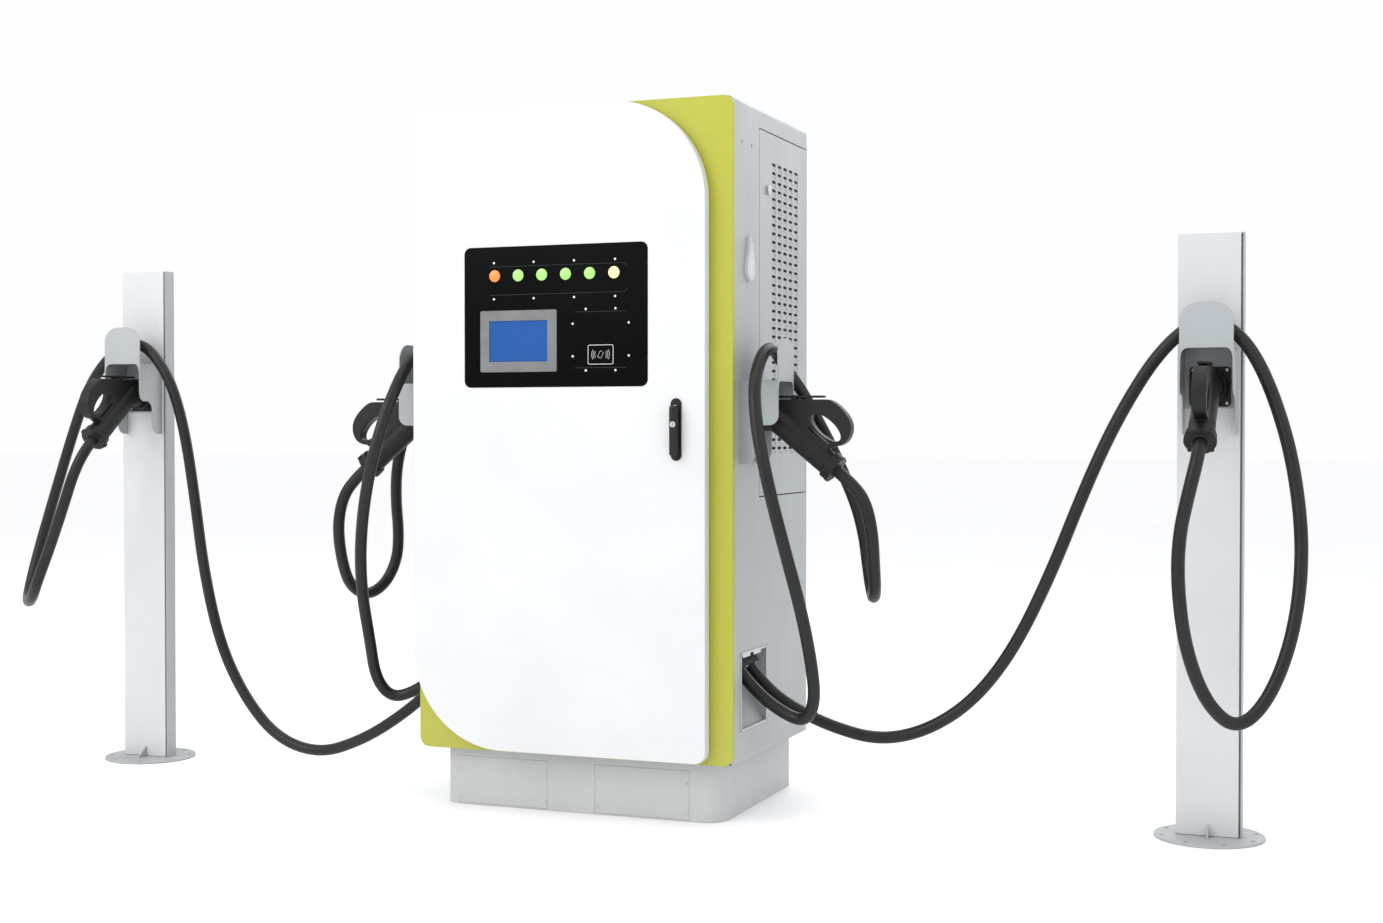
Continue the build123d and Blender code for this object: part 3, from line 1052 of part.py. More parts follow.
# ---------------------------------------------------------------- equipment inside the cabinet
def equipment():
    floor = PLINTH_HEIGHT + SHEET
    rack_x = HALF_WIDTH - RACK_SIDE_MARGIN
    rack_y = HALF_DEPTH - RACK_END_MARGIN
    rack_top = CABINET_HEIGHT - RACK_TOP_MARGIN
    with BuildPart() as rack:
        with Locations((0, 0, (floor + rack_top) / 2)):
            with GridLocations(2 * rack_x, 2 * rack_y, 2, 2):
                Box(RACK_POST, RACK_POST, rack_top - floor)
        for z in (*RACK_SHELF_HEIGHTS, rack_top - RACK_POST / 2):
            with Locations((0, 0, z)):
                Box(2 * rack_x, 2 * rack_y, RACK_SHELF)
    write(rack.part, "equipment_rack")

    width = 2 * (rack_x - MODULE_SIDE_GAP)
    depth = 2 * (rack_y - MODULE_END_GAP)
    first = RACK_SHELF_HEIGHTS[-1] + RACK_SHELF * 2 + MODULE_HEIGHT / 2
    count = int((rack_top - 140 - first + MODULE_HEIGHT / 2) / MODULE_PITCH)
    with BuildPart() as modules:
        with Locations(*[(0, 0, first + i * MODULE_PITCH) for i in range(count)]):
            Box(width, depth, MODULE_HEIGHT)
            Box(width - 2 * MODULE_WALL, depth - 2 * MODULE_WALL, MODULE_HEIGHT - 2 * MODULE_WALL,
                mode=Mode.SUBTRACT)
        with BuildSketch(Plane.XZ.offset(depth / 2)):
            with Locations(*[(0, first + i * MODULE_PITCH) for i in range(count)]):
                with GridLocations(MODULE_SLOT_PITCH, 0, int(width / MODULE_SLOT_PITCH) - 1, 1):
                    SlotOverall(MODULE_HEIGHT - 30, 12, rotation=90)
        extrude(amount=-MODULE_WALL, mode=Mode.SUBTRACT)
    write(modules.part, "power_modules")

    contactor_z = RACK_SHELF_HEIGHTS[0] + RACK_SHELF / 2 + 40
    with BuildPart() as contactors:
        with Locations((0, 0, contactor_z)):
            with GridLocations(CONTACTOR_PITCH, 0, int((2 * rack_x - 100) / CONTACTOR_PITCH), 1):
                Box(80, 120, 80)
    with BuildPart() as terminals:
        with Locations((0, 0, floor + 30)):
            with GridLocations(TERMINAL_PITCH, 0, int((2 * rack_x - 200) / TERMINAL_PITCH), 1):
                Box(44, 90, 60)
        with Locations((0, 0, floor + 4)):
            Box(width, depth - 30, 8)
    write(Compound(children=[*contactors.part.solids(), *terminals.part.solids()]), "switchgear")


# ---------------------------------------------------------------- charging cables
def gun_exit(place):
    """Where a cable leaves its gun, and the direction in which it leaves."""
    plane = HOLSTERS[place]
    end = plane.from_local_coords(GUN_EXIT)
    ahead = plane.from_local_coords(GUN_EXIT + GRIP_DIRECTION)
    return end, ahead - end


def outlet_exit(side, shift):
    """Where a cable leaves its clamp, and the direction in which it leaves."""
    face = clamp_plane(CLAMP_CENTRE_Y + shift)
    sign = 1 if side == "right" else -1
    start = Vector(sign * face.origin.X, face.origin.Y, face.origin.Z)
    return start, Vector(sign * face.z_dir.X, 0, face.z_dir.Z)


FIRST_RUN = 70.0
LAST_RUN = 47.0
RIGHT_ROUTE = [
    (540, -197, 279), (603, -210, 262), (638, -236, 318), (636, -268, 430), (626, -325, 565),
    (602, -372, 705), (568, -398, 860), (532, -388, 1010), (510, -345, 1120), (506, -282, 1190),
    (506, -225, 1216), (506, -168, 1214), (520, -123, 1168), (556, -113, 1118), (592, -107, 1052),
    (632, -97, 975), (664, -74, 892), (688, -36, 810), (700, -4, 728), (708, 0, 655), (726, -32, 594),
    (750, -92, 570), (770, -150, 600), (776, -186, 668), (777, -206, 752), (758, -206, 830),
]
LEFT_ROUTE = [
    (-540, -197, 279), (-603, -210, 262), (-638, -236, 318), (-637, -268, 430), (-628, -325, 565),
    (-604, -372, 705), (-568, -398, 860), (-532, -388, 1010), (-510, -345, 1120), (-506, -282, 1190),
    (-506, -225, 1216), (-506, -168, 1214), (-520, -123, 1168), (-556, -113, 1118), (-592, -107, 1052),
    (-632, -97, 975), (-664, -74, 890), (-688, -35, 800), (-698, -2, 710), (-706, 2, 630), (-726, -32, 560),
    (-750, -92, 532), (-770, -150, 562), (-776, -186, 636), (-776, -208, 740), (-757, -206, 825),
]
RIGHT_POST_ROUTE = [
    (535, -112, 283), (640, -100, 236), (760, -80, 205), (880, -65, 232), (1000, -60, 312), (1105, -62, 448),
    (1200, -65, 645), (1280, -68, 850), (1350, -70, 1008), (1424, -72, 1138), (1480, -72, 1213),
    (1545, -72, 1268), (1615, -72, 1268), (1682, -74, 1205), (1740, -86, 1075), (1784, -110, 915),
    (1806, -138, 720), (1788, -165, 530), (1735, -190, 375), (1665, -215, 302), (1597, -240, 362),
    (1550, -258, 490), (1532, -270, 640), (1535, -270, 760), (1562, -302, 868),
]
LEFT_POST_ROUTE = [
    (-535, -112, 270), (-640, -105, 190), (-770, -88, 115), (-925, -70, 62), (-1075, -62, 98),
    (-1190, -60, 215), (-1275, -60, 370), (-1330, -60, 580), (-1362, -60, 800), (-1392, -62, 985),
    (-1430, -66, 1125), (-1480, -70, 1215), (-1545, -72, 1270), (-1615, -72, 1262), (-1692, -70, 1203),
    (-1752, -68, 1120), (-1808, -68, 985), (-1866, -76, 810), (-1908, -100, 640), (-1908, -142, 530),
    (-1868, -200, 486), (-1800, -262, 498), (-1745, -300, 560), (-1700, -305, 650), (-1650, -305, 770),
    (-1606, -308, 880),
]
# Each cable is cut in two on one run, so that the piece beyond it can move with its gun.
CABLES = {
    "right": ("right", -CABLE_SPACING / 2, RIGHT_ROUTE, 25),
    "left": ("left", -CABLE_SPACING / 2, LEFT_ROUTE, 25),
    "post_right": ("right", CABLE_SPACING / 2, RIGHT_POST_ROUTE, 24),
    "post_left": ("left", CABLE_SPACING / 2, LEFT_POST_ROUTE, 25),
}


def bend_radii(points):
    """The largest arc at each corner that its two runs allow."""
    radii = []
    for before, corner, after in zip(points[:-2], points[1:-1], points[2:]):
        arrive, leave = corner - before, after - corner
        half_turn = radians(arrive.get_angle(leave)) / 2
        radii.append(0.45 * min(arrive.length, leave.length) / tan(half_turn))
    return radii


def tube(points, radii, name):
    with BuildPart() as cable:
        with BuildLine() as route:
            FilletPolyline(*points, radius=radii)
        with BuildSketch(Plane(origin=points[0], z_dir=points[1] - points[0])):
            Circle(CABLE_RADIUS)
        sweep(path=route.line)
    length = sum(edge.length for edge in route.edges())
    share = cable.part.volume / (pi * CABLE_RADIUS**2 * length)
    print(name, "length", round(length), "volume / (section x length)", round(share, 4))
    write(cable.part, name)
    return length


def cables():
    for place, (side, shift, route, cut) in CABLES.items():
        start, start_way = outlet_exit(side, shift)
        end, end_way = gun_exit(place)
        points = [start, start + start_way * FIRST_RUN]
        points += [Vector(*point) for point in route]
        points += [end + end_way * LAST_RUN, end]
        radii = bend_radii(points)
        print(place, "bend radii", [round(r) for r in radii])
        middle = (points[cut] + points[cut + 1]) * 0.5
        lower = [*points[: cut + 1], middle]
        upper = [middle, *points[cut + 1 :]]
        total = tube(lower, radii[:cut], f"cable_{place}")
        total += tube(upper, radii[cut:], f"cable_tail_{place}")
        print(place, "whole cable", round(total))


plinth()
housing()
front_door()
control_panel()
swing_handle()
service_side()
cable_outlets()
holsters()
guns()
posts()
equipment()
cables()
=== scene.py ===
"""Electric-vehicle charging station: a power cabinet, two satellite posts, four guns and their cables.

Metres throughout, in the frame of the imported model. The front of the cabinet faces -Y.
"""

from math import cos, pi, radians, sin

import bmesh
import bpy
from mathutils import Matrix, Vector


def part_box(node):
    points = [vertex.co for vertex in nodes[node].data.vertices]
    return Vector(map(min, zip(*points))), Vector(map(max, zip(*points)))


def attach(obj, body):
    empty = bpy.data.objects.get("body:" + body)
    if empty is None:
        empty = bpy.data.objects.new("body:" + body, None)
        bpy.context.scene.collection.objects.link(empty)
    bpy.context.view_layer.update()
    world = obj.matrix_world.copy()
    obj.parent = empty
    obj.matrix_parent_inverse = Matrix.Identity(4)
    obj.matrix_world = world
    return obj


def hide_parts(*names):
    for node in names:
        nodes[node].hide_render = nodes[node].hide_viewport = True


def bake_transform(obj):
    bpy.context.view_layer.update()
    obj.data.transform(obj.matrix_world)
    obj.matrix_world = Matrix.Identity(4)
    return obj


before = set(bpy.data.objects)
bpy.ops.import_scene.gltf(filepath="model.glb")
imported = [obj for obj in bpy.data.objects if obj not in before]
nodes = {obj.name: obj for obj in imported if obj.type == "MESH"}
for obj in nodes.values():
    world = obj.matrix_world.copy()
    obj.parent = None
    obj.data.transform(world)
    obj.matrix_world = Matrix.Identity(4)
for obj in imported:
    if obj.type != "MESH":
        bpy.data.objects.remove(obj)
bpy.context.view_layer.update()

PLACES = ("right", "left", "post_right", "post_left")


# ---------------------------------------------------------------- camera, light and floor
CAMERA_PLACE = (2.0337, -4.7383, 1.0078)
CAMERA_BELOW_LEVEL = 0.98
CAMERA_TURN = 21.04
SENSOR_MM = 36
LENS_MM = 48.49
# Each lamp: its name, place, size, watts and colour.
LAMPS = [
    ("key", (-3.6, -5.4, 4.4), 5.0, 205, (1.0, 0.99, 0.975)),
    ("fill", (5.4, -2.0, 3.0), 5.0, 40, (0.96, 0.98, 1.0)),
    ("back", (0.5, 4.6, 4.4), 5.0, 120, (1.0, 1.0, 1.0)),
    ("top", (0.0, -0.5, 5.2), 4.0, 45, (1.0, 1.0, 1.0)),
]
LAMP_TARGET = Vector((0, 0, 0.8))
WORLD_COLOUR = (0.985, 0.99, 1.0, 1)
FLOOR_REACH = 60.0
FLOOR_GAP = 0.0006


def place_camera():
    camera = bpy.data.objects.new("camera", bpy.data.cameras.new("camera"))
    camera.location = CAMERA_PLACE
    camera.rotation_euler = (radians(90 - CAMERA_BELOW_LEVEL), 0, radians(CAMERA_TURN))
    camera.data.sensor_width = SENSOR_MM
    camera.data.lens = LENS_MM
    bpy.context.scene.collection.objects.link(camera)
    bpy.context.scene.camera = camera


def light_studio():
    for name, place, size, watts, colour in LAMPS:
        light = bpy.data.lights.new(name, "AREA")
        light.size = size
        light.energy = watts
        light.color = colour
        holder = bpy.data.objects.new(name, light)
        holder.location = place
        aim = LAMP_TARGET - Vector(place)
        holder.rotation_euler = aim.to_track_quat("-Z", "Y").to_euler()
        bpy.context.scene.collection.objects.link(holder)

    bpy.context.scene.view_settings.view_transform = "Standard"
    world = bpy.data.worlds.new("studio")
    world.use_nodes = True
    background = world.node_tree.nodes["Background"]
    background.inputs["Color"].default_value = WORLD_COLOUR
    background.inputs["Strength"].default_value = 1.0
    bpy.context.scene.world = world


def lay_floor():
    signs = ((-1, -1), (1, -1), (1, 1), (-1, 1))
    corners = [(x * FLOOR_REACH, y * FLOOR_REACH, -FLOOR_GAP) for x, y in signs]
    floor_mesh = bpy.data.meshes.new("floor")
    floor_mesh.from_pydata(corners, [], [(0, 1, 2, 3)])
    floor = bpy.data.objects.new("floor", floor_mesh)
    bpy.context.scene.collection.objects.link(floor)
    shader = Shader("pale_floor")
    patches = shader.noise(1.3, 3)
    shader.colour(shader.ramp(patches, (0.962, 0.966, 0.972), (0.984, 0.987, 0.992)))
    shader.rough(shader.span(shader.noise(7, 2), 0.5, 0.62))
    floor.data.materials.append(shader.material)


# ---------------------------------------------------------------- materials
class Shader:
    """One material's node tree, with short calls for the nodes that the finishes share."""

    def __init__(self, name):
        self.material = bpy.data.materials.new(name)
        self.material.use_nodes = True
        self.tree = self.material.node_tree
        self.surface = self.tree.nodes["Principled BSDF"]
        self.place = self.node("ShaderNodeTexCoord").outputs["Object"]
        self.edge = None

    def node(self, kind, **settings):
        made = self.tree.nodes.new(kind)
        for name, value in settings.items():
            setattr(made, name, value)
        return made

    def link(self, source, target):
        self.tree.links.new(source, target)
        return self

    def fixed(self, **values):
        for name, value in values.items():
            self.surface.inputs[name.replace("_", " ").title()].default_value = value
        return self

    def specular(self, level):
        self.surface.inputs["Specular IOR Level"].default_value = level
        return self

    def stretched(self, scale):
        mapping = self.node("ShaderNodeMapping")
        mapping.inputs["Scale"].default_value = scale
        self.link(self.place, mapping.inputs["Vector"])
        return mapping.outputs["Vector"]

    def noise(self, scale, detail=4.0, roughness=0.55, stretch=None):
        texture = self.node("ShaderNodeTexNoise")
        texture.inputs["Scale"].default_value = scale
        texture.inputs["Detail"].default_value = detail
        texture.inputs["Roughness"].default_value = roughness
        self.link(self.stretched(stretch) if stretch else self.place, texture.inputs["Vector"])
        return texture.outputs["Fac"]

    def cells(self, scale):
        texture = self.node("ShaderNodeTexVoronoi", feature="F1")
        texture.inputs["Scale"].default_value = scale
        self.link(self.place, texture.inputs["Vector"])
        return texture.outputs["Distance"]

    def height(self):
        split = self.node("ShaderNodeSeparateXYZ")
        self.link(self.place, split.inputs[0])
        return split.outputs["Z"]

    def span(self, value, low, high, start=0.3, end=0.7):
        scale = self.node("ShaderNodeMapRange")
        self.link(value, scale.inputs["Value"])
        for name, number in (("From Min", start), ("From Max", end), ("To Min", low), ("To Max", high)):
            scale.inputs[name].default_value = number
        return scale.outputs["Result"]

    def maths(self, operation, a, b):
        node = self.node("ShaderNodeMath", operation=operation)
        for socket, value in zip(node.inputs, (a, b)):
            if isinstance(value, (int, float)):
                socket.default_value = value
            else:
                self.link(value, socket)
        return node.outputs[0]

    def ramp(self, value, low, high, start=0.3, end=0.7):
        ramp = self.node("ShaderNodeValToRGB")
        first, last = ramp.color_ramp.elements
        first.position, last.position = start, end
        first.color, last.color = (*low, 1), (*high, 1)
        self.link(value, ramp.inputs["Fac"])
        return ramp.outputs["Color"]

    def mix(self, share, a, b):
        node = self.node("ShaderNodeMix", data_type="RGBA")
        self.link(share, node.inputs["Factor"])
        for socket, value in ((node.inputs[6], a), (node.inputs[7], b)):
            if isinstance(value, tuple):
                socket.default_value = (*value, 1)
            else:
                self.link(value, socket)
        return node.outputs[2]

    def colour(self, source):
        return self.link(source, self.surface.inputs["Base Color"])

    def rough(self, source):
        return self.link(source, self.surface.inputs["Roughness"])

    def rounded(self, radius):
        """Rounds the look of every sharp edge and returns a mask that is 1 along the edges."""
        bevel = self.node("ShaderNodeBevel", samples=4)
        bevel.inputs["Radius"].default_value = radius
        self.edge = bevel.outputs["Normal"]
        flat = self.node("ShaderNodeNewGeometry").outputs["Normal"]
        dot = self.node("ShaderNodeVectorMath", operation="DOT_PRODUCT")
        self.link(self.edge, dot.inputs[0])
        self.link(flat, dot.inputs[1])
        return self.span(dot.outputs["Value"], 1.0, 0.0, 0.86, 0.985)

    def bump(self, *layers):
        """Each layer is a height, its strength and its depth in metres."""
        normal = self.edge
        for source, strength, depth in layers:
            bump = self.node("ShaderNodeBump")
            bump.inputs["Strength"].default_value = strength
            bump.inputs["Distance"].default_value = depth
            self.link(source, bump.inputs["Height"])
            if normal is not None:
                self.link(normal, bump.inputs["Normal"])
            normal = bump.outputs["Normal"]
        return self.link(normal, self.surface.inputs["Normal"])


EDGE_RADIUS = 0.0012


def shade(colour, factor):
    return tuple(min(1.0, channel * factor) for channel in colour)


def painted(name, colour, roughness=0.42, grain=900.0):
    """Powder coat: orange peel, slight mottling, dust low down and polished edges."""
    shader = Shader(name)
    mottle = shader.ramp(shader.noise(3.1, 5), shade(colour, 0.955), shade(colour, 1.03))
    low_down = shader.span(shader.height(), 1.0, 0.0, 0.0, 0.45)
    dust = shader.maths("MULTIPLY", low_down, shader.noise(11, 6, 0.65))
    soiled = shader.mix(shader.maths("MULTIPLY", dust, 0.22), mottle, (0.44, 0.42, 0.38))
    worn = shader.maths("MULTIPLY", shader.rounded(EDGE_RADIUS), shader.span(shader.noise(60, 4), 0.0, 0.5))
    shader.colour(shader.mix(worn, soiled, shade(colour, 0.72)))
    smears = shader.noise(9, 5, 0.6, (1, 1, 0.35))
    shader.rough(shader.maths("ADD", shader.span(smears, roughness - 0.06, roughness + 0.08),
                              shader.maths("MULTIPLY", dust, 0.2)))
    shader.bump((shader.noise(grain, 2), 0.16, 0.00025), (shader.noise(4.2, 2), 0.05, 0.0012))
    return shader.material


def moulded(name, colour, roughness=0.46, grain=1500.0):
    """Moulded plastic with a fine eroded texture and rubbed edges."""
    shader = Shader(name)
    base = shader.ramp(shader.noise(14, 5), shade(colour, 0.85), shade(colour, 1.2))
    rub = shader.maths("MULTIPLY", shader.rounded(EDGE_RADIUS), shader.span(shader.noise(45, 5), 0.1, 0.8))
    shader.colour(shader.mix(rub, base, tuple(channel * 0.8 + 0.018 for channel in colour)))
    uneven = shader.span(shader.noise(22, 5), roughness - 0.05, roughness + 0.09)
    shader.rough(shader.maths("SUBTRACT", uneven, shader.maths("MULTIPLY", rub, 0.14)))
    shader.specular(0.30)
    shader.bump((shader.cells(grain), 0.2, 0.0002), (shader.noise(160, 3), 0.06, 0.0003))
    return shader.material


def cable_jacket(name):
    """Extruded jacket: satin black, with faint drawn lines and pale scuffs."""
    shader = Shader(name)
    base = shader.ramp(shader.noise(6, 6), (0.006, 0.006, 0.0065), (0.013, 0.013, 0.014))
    scuffs = shader.span(shader.noise(38, 8, 0.75, (1, 1, 0.3)), 0.0, 0.5, 0.6, 0.74)
    shader.colour(shader.mix(scuffs, base, (0.040, 0.039, 0.037)))
    shader.rough(shader.span(shader.noise(26, 6), 0.30, 0.46))
    shader.specular(0.32)
    shader.bump((shader.noise(420, 3), 0.12, 0.0003), (shader.noise(55, 2, 0.5, (1, 1, 0.2)), 0.08, 0.0008))
    return shader.material


def metal(name, colour, roughness, stretch, spangle=False):
    """Zinc or steel: drawn or spangled, a little stained."""
    shader = Shader(name)
    pattern = shader.cells(95) if spangle else shader.noise(240, 4, 0.6, stretch)
    stain = shader.noise(17, 6)
    base = shader.ramp(pattern, shade(colour, 0.82), shade(colour, 1.1), 0.15, 0.8)
    shader.colour(shader.mix(shader.span(stain, 0.0, 0.35), base, shade(colour, 0.55)))
    shader.rounded(0.0006)
    shader.rough(shader.span(pattern, roughness - 0.07, roughness + 0.12))
    shader.fixed(metallic=1.0)
    shader.bump((pattern, 0.12, 0.00015))
    return shader.material


def dark_glass(name):
    """The control panel's black glass, with faint wiping marks."""
    shader = Shader(name)
    shader.colour(shader.ramp(shader.noise(5, 4), (0.0010, 0.0012, 0.0013), (0.0020, 0.0022, 0.0024)))
    shader.rough(shader.span(shader.noise(11, 7, 0.7, (1, 1, 2.5)), 0.16, 0.30))
    shader.rounded(0.0008)
    shader.bump((shader.noise(3.0, 2), 0.03, 0.0006))
    shader.specular(0.05)
    return shader.material


def lamp_lens(name, colour):
    """A lamp's frosted lens, a little brighter in the middle of its own small cells."""
    shader = Shader(name)
    cells = shader.cells(900)
    tone = shader.ramp(cells, shade(colour, 1.08), shade(colour, 0.88), 0.1, 0.9)
    shader.colour(tone)
    shader.link(tone, shader.surface.inputs["Emission Color"])
    shader.fixed(emission_strength=0.35, coat_weight=0.5, coat_roughness=0.08)
    shader.rough(shader.span(shader.noise(90, 3), 0.22, 0.34))
    shader.bump((cells, 0.12, 0.0003))
    return shader.material


def display(name, colour):
    """The lit screen: an even tone with fine lines and a faint haze."""
    shader = Shader(name)
    lines = shader.node("ShaderNodeTexWave", bands_direction="Z")
    lines.inputs["Scale"].default_value = 260
    shader.link(shader.place, lines.inputs["Vector"])
    tone = shader.mix(shader.maths("MULTIPLY", lines.outputs["Fac"], 0.12), colour, shade(colour, 0.72))
    haze = shader.mix(shader.span(shader.noise(7, 3), 0.0, 0.16), tone, shade(colour, 1.35))
    shader.colour(haze)
    shader.link(haze, shader.surface.inputs["Emission Color"])
    shader.fixed(emission_strength=0.4, coat_weight=0.08, coat_roughness=0.05)
    shader.specular(0.08)
    shader.rough(shader.span(shader.noise(30, 5), 0.16, 0.3))
    shader.bump((shader.noise(200, 2), 0.02, 0.0001))
    return shader.material


def fleece(name):
    """The filter's dark matted fibres."""
    shader = Shader(name)
    fibres = shader.noise(520, 8, 0.8)
    shader.colour(shader.ramp(fibres, (0.006, 0.006, 0.006), (0.035, 0.034, 0.032), 0.4, 0.65))
    shader.rough(shader.span(fibres, 0.85, 1.0))
    shader.bump((fibres, 0.8, 0.0012))
    return shader.material


def make_materials():
    return {
        "white": painted("white_powder_coat", (0.675, 0.685, 0.695), 0.34),
        "post": painted("post_powder_coat", (0.585, 0.597, 0.61), 0.38),
        "grey": painted("light_grey_powder_coat", (0.365, 0.39, 0.405), 0.45),
        "lime": painted("lime_powder_coat", (0.405, 0.41, 0.029), 0.42),
        "plinth": painted("plinth_powder_coat", (0.47, 0.48, 0.49), 0.5, 600),
        "plastic": moulded("black_moulded_plastic", (0.0075, 0.0075, 0.008)),
        "bezel": moulded("bezel_plastic", (0.17, 0.172, 0.176), 0.42, 1700),
        "cover": moulded("lock_cover_plastic", (0.50, 0.525, 0.535), 0.38),
        "switch": moulded("switchgear_plastic", (0.10, 0.105, 0.11), 0.5),
        "rubber": moulded("black_rubber", (0.022, 0.022, 0.023), 0.62, 700),
        "jacket": cable_jacket("cable_jacket"),
        "steel": metal("zinc_plated_steel", (0.56, 0.57, 0.58), 0.3, (1, 1, 0.05)),
        "galvanised": metal("galvanised_sheet", (0.60, 0.62, 0.64), 0.38, (1, 1, 1), True),
        "module": painted("module_paint", (0.055, 0.058, 0.062), 0.55, 500),
        "glass": dark_glass("control_panel_glass"),
        "display": display("blue_display", (0.0145, 0.068, 0.245)),
        "fleece": fleece("filter_fleece"),
        "ink": moulded("white_ink", (0.80, 0.81, 0.80), 0.5, 2200),
        "faint": moulded("faint_ink", (0.018, 0.026, 0.028), 0.45, 2200),
        "orange": lamp_lens("orange_lens", (0.86, 0.20, 0.022)),
        "green": lamp_lens("green_lens", (0.29, 0.60, 0.14)),
        "amber": lamp_lens("amber_lens", (0.92, 0.68, 0.32)),
    }


def dress(materials):
    """Gives every carried-over CAD node its material."""
    finish = {
        "white": ["front_door"],
        "post": ["post_cover_right", "post_cover_left"],
        "lime": ["fascia"],
        "plinth": ["plinth_frame", "plinth_covers"],
        "steel": ["plinth_screws", "door_hinge_pins", "service_door_pivots", "key_cylinder", "latch_cam",
                  "service_lock_right", "service_lock_left"],
        "galvanised": ["equipment_rack", "clamp_plates"],
        "rubber": ["door_seal"],
        "plastic": ["gun_sockets", "card_reader", "handle_base", "handle_lever"],
        "bezel": ["screen_bezel"],
        "cover": ["lock_cover_right", "lock_cover_left"],
        "switch": ["switchgear"],
        "module": ["power_modules"],
        "glass": ["control_panel"],
        "display": ["screen"],
        "fleece": ["air_filter_right", "air_filter_left"],
    }
    chosen = {node: key for key, members in finish.items() for node in members}
    for name, node in nodes.items():
        key = chosen.get(name, "plastic" if name.startswith("gun_") else "grey")
        node.data.materials.clear()
        node.data.materials.append(materials[key])


# ---------------------------------------------------------------- mesh helpers
def piece(name, mesh, material, body, smooth_angle=None):
    """An object made from a mesh, in place, riding on its body."""
    made = bpy.data.objects.new(name, mesh)
    bpy.context.scene.collection.objects.link(made)
    mesh.materials.clear()
    mesh.materials.append(material)
    if smooth_angle is not None:
        for face in mesh.polygons:
            face.use_smooth = True
        mesh.set_sharp_from_angle(angle=radians(smooth_angle))
    if body:
        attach(made, body)
    return made


def finish_mesh(bm, name):
    bmesh.ops.recalc_face_normals(bm, faces=bm.faces)
    mesh = bpy.data.meshes.new(name)
    bm.to_mesh(mesh)
    bm.free()
    return mesh


def lathe(bm, profile, centre, axis, steps=32):
    """A closed form turned about an axis: the profile is (radius, distance along the axis) pairs."""
    turn = Vector(axis).normalized().to_track_quat("Z", "Y").to_matrix()
    rings = []
    for radius, along in profile:
        if radius == 0:
            rings.append([bm.verts.new(Vector(centre) + turn @ Vector((0, 0, along)))])
            continue
        ring = []
        for step in range(steps):
            angle = 2 * pi * step / steps
            spot = Vector((radius * cos(angle), radius * sin(angle), along))
            ring.append(bm.verts.new(Vector(centre) + turn @ spot))
        rings.append(ring)
    for lower, upper in zip(rings[:-1], rings[1:]):
        for step in range(steps):
            after = (step + 1) % steps
            if len(lower) == 1:
                bm.faces.new((lower[0], upper[after], upper[step]))
            elif len(upper) == 1:
                bm.faces.new((lower[step], lower[after], upper[0]))
            else:
                bm.faces.new((lower[step], lower[after], upper[after], upper[step]))


def outline_solid(bm, outline, depth):
    """Raises a flat outline, given as points in space, along one direction into a closed slab."""
    base = [bm.verts.new(p) for p in outline]
    top = [bm.verts.new(Vector(p) + Vector(depth)) for p in outline]
    bm.faces.new(base)
    bm.faces.new(list(reversed(top)))
    count = len(base)
    for i in range(count):
        after = (i + 1) % count
        bm.faces.new((base[i], top[i], top[after], base[after]))


def ribbon(bm, points, width, y, depth):
    """A printed line of one width that follows points in the XZ plane."""
    count = len(points)
    left, right = [], []
    for i, (x, z) in enumerate(points):
        before = points[max(i - 1, 0)]
        after = points[min(i + 1, count - 1)]
        way = Vector((after[0] - before[0], 0, after[1] - before[1])).normalized()
        side = Vector((-way.z, 0, way.x)) * width / 2
        left.append(Vector((x, y, z)) + side)
        right.append(Vector((x, y, z)) - side)
    outline_solid(bm, left + list(reversed(right)), (0, depth, 0))


def tube_mesh(name, path, radius, steps=28):
    """A round tube along a path, with its section carried along without twist and its ends closed."""
    bm = bmesh.new()
    way = (path[1] - path[0]).normalized()
    side = way.orthogonal().normalized()
    rings = []
    for i, point in enumerate(path):
        before = path[max(i - 1, 0)]
        after = path[min(i + 1, len(path) - 1)]
        new_way = (after - before).normalized()
        side = (way.rotation_difference(new_way) @ side).normalized()
        way = new_way
        other = way.cross(side)
        ring = []
        for step in range(steps):
            angle = 2 * pi * step / steps
            ring.append(bm.verts.new(point + (side * cos(angle) + other * sin(angle)) * radius))
        rings.append(ring)
    for lower, upper in zip(rings[:-1], rings[1:]):
        for step in range(steps):
            after = (step + 1) % steps
            bm.faces.new((lower[step], lower[after], upper[after], upper[step]))
    bm.faces.new(list(reversed(rings[0])))
    bm.faces.new(rings[-1])
    return finish_mesh(bm, name)


# ---------------------------------------------------------------- charging cables
CABLE_RADIUS = 0.016
TUBE_SMOOTH_ANGLE = 60
FIRST_RUN = 0.070
LAST_RUN = 0.047
WALL_X = 0.442
CLAMP_INSET = 0.024
CLAMP_X = WALL_X - CLAMP_INSET
CLAMP_Z = 0.385
CLAMP_Y = -0.1525
CLAMP_ANGLE = radians(50)
CABLE_SPACING = 0.085
GRIP_ANGLE = radians(39)
GRIP_WAY = Vector((cos(GRIP_ANGLE), 0, -sin(GRIP_ANGLE)))
GRIP_START = Vector((0.0695, 0, -0.092))
GRIP_LENGTH = 0.192
COLLAR_LENGTH = 0.026
GUN_EXIT = GRIP_START + GRIP_WAY * (GRIP_LENGTH + COLLAR_LENGTH)
POST_X = 1.580
POST_FRONT_Y = -0.012
HOLSTER_Y = -0.198
HOLSTER_Z = 1.134
POST_HOLSTER_Z = 1.208

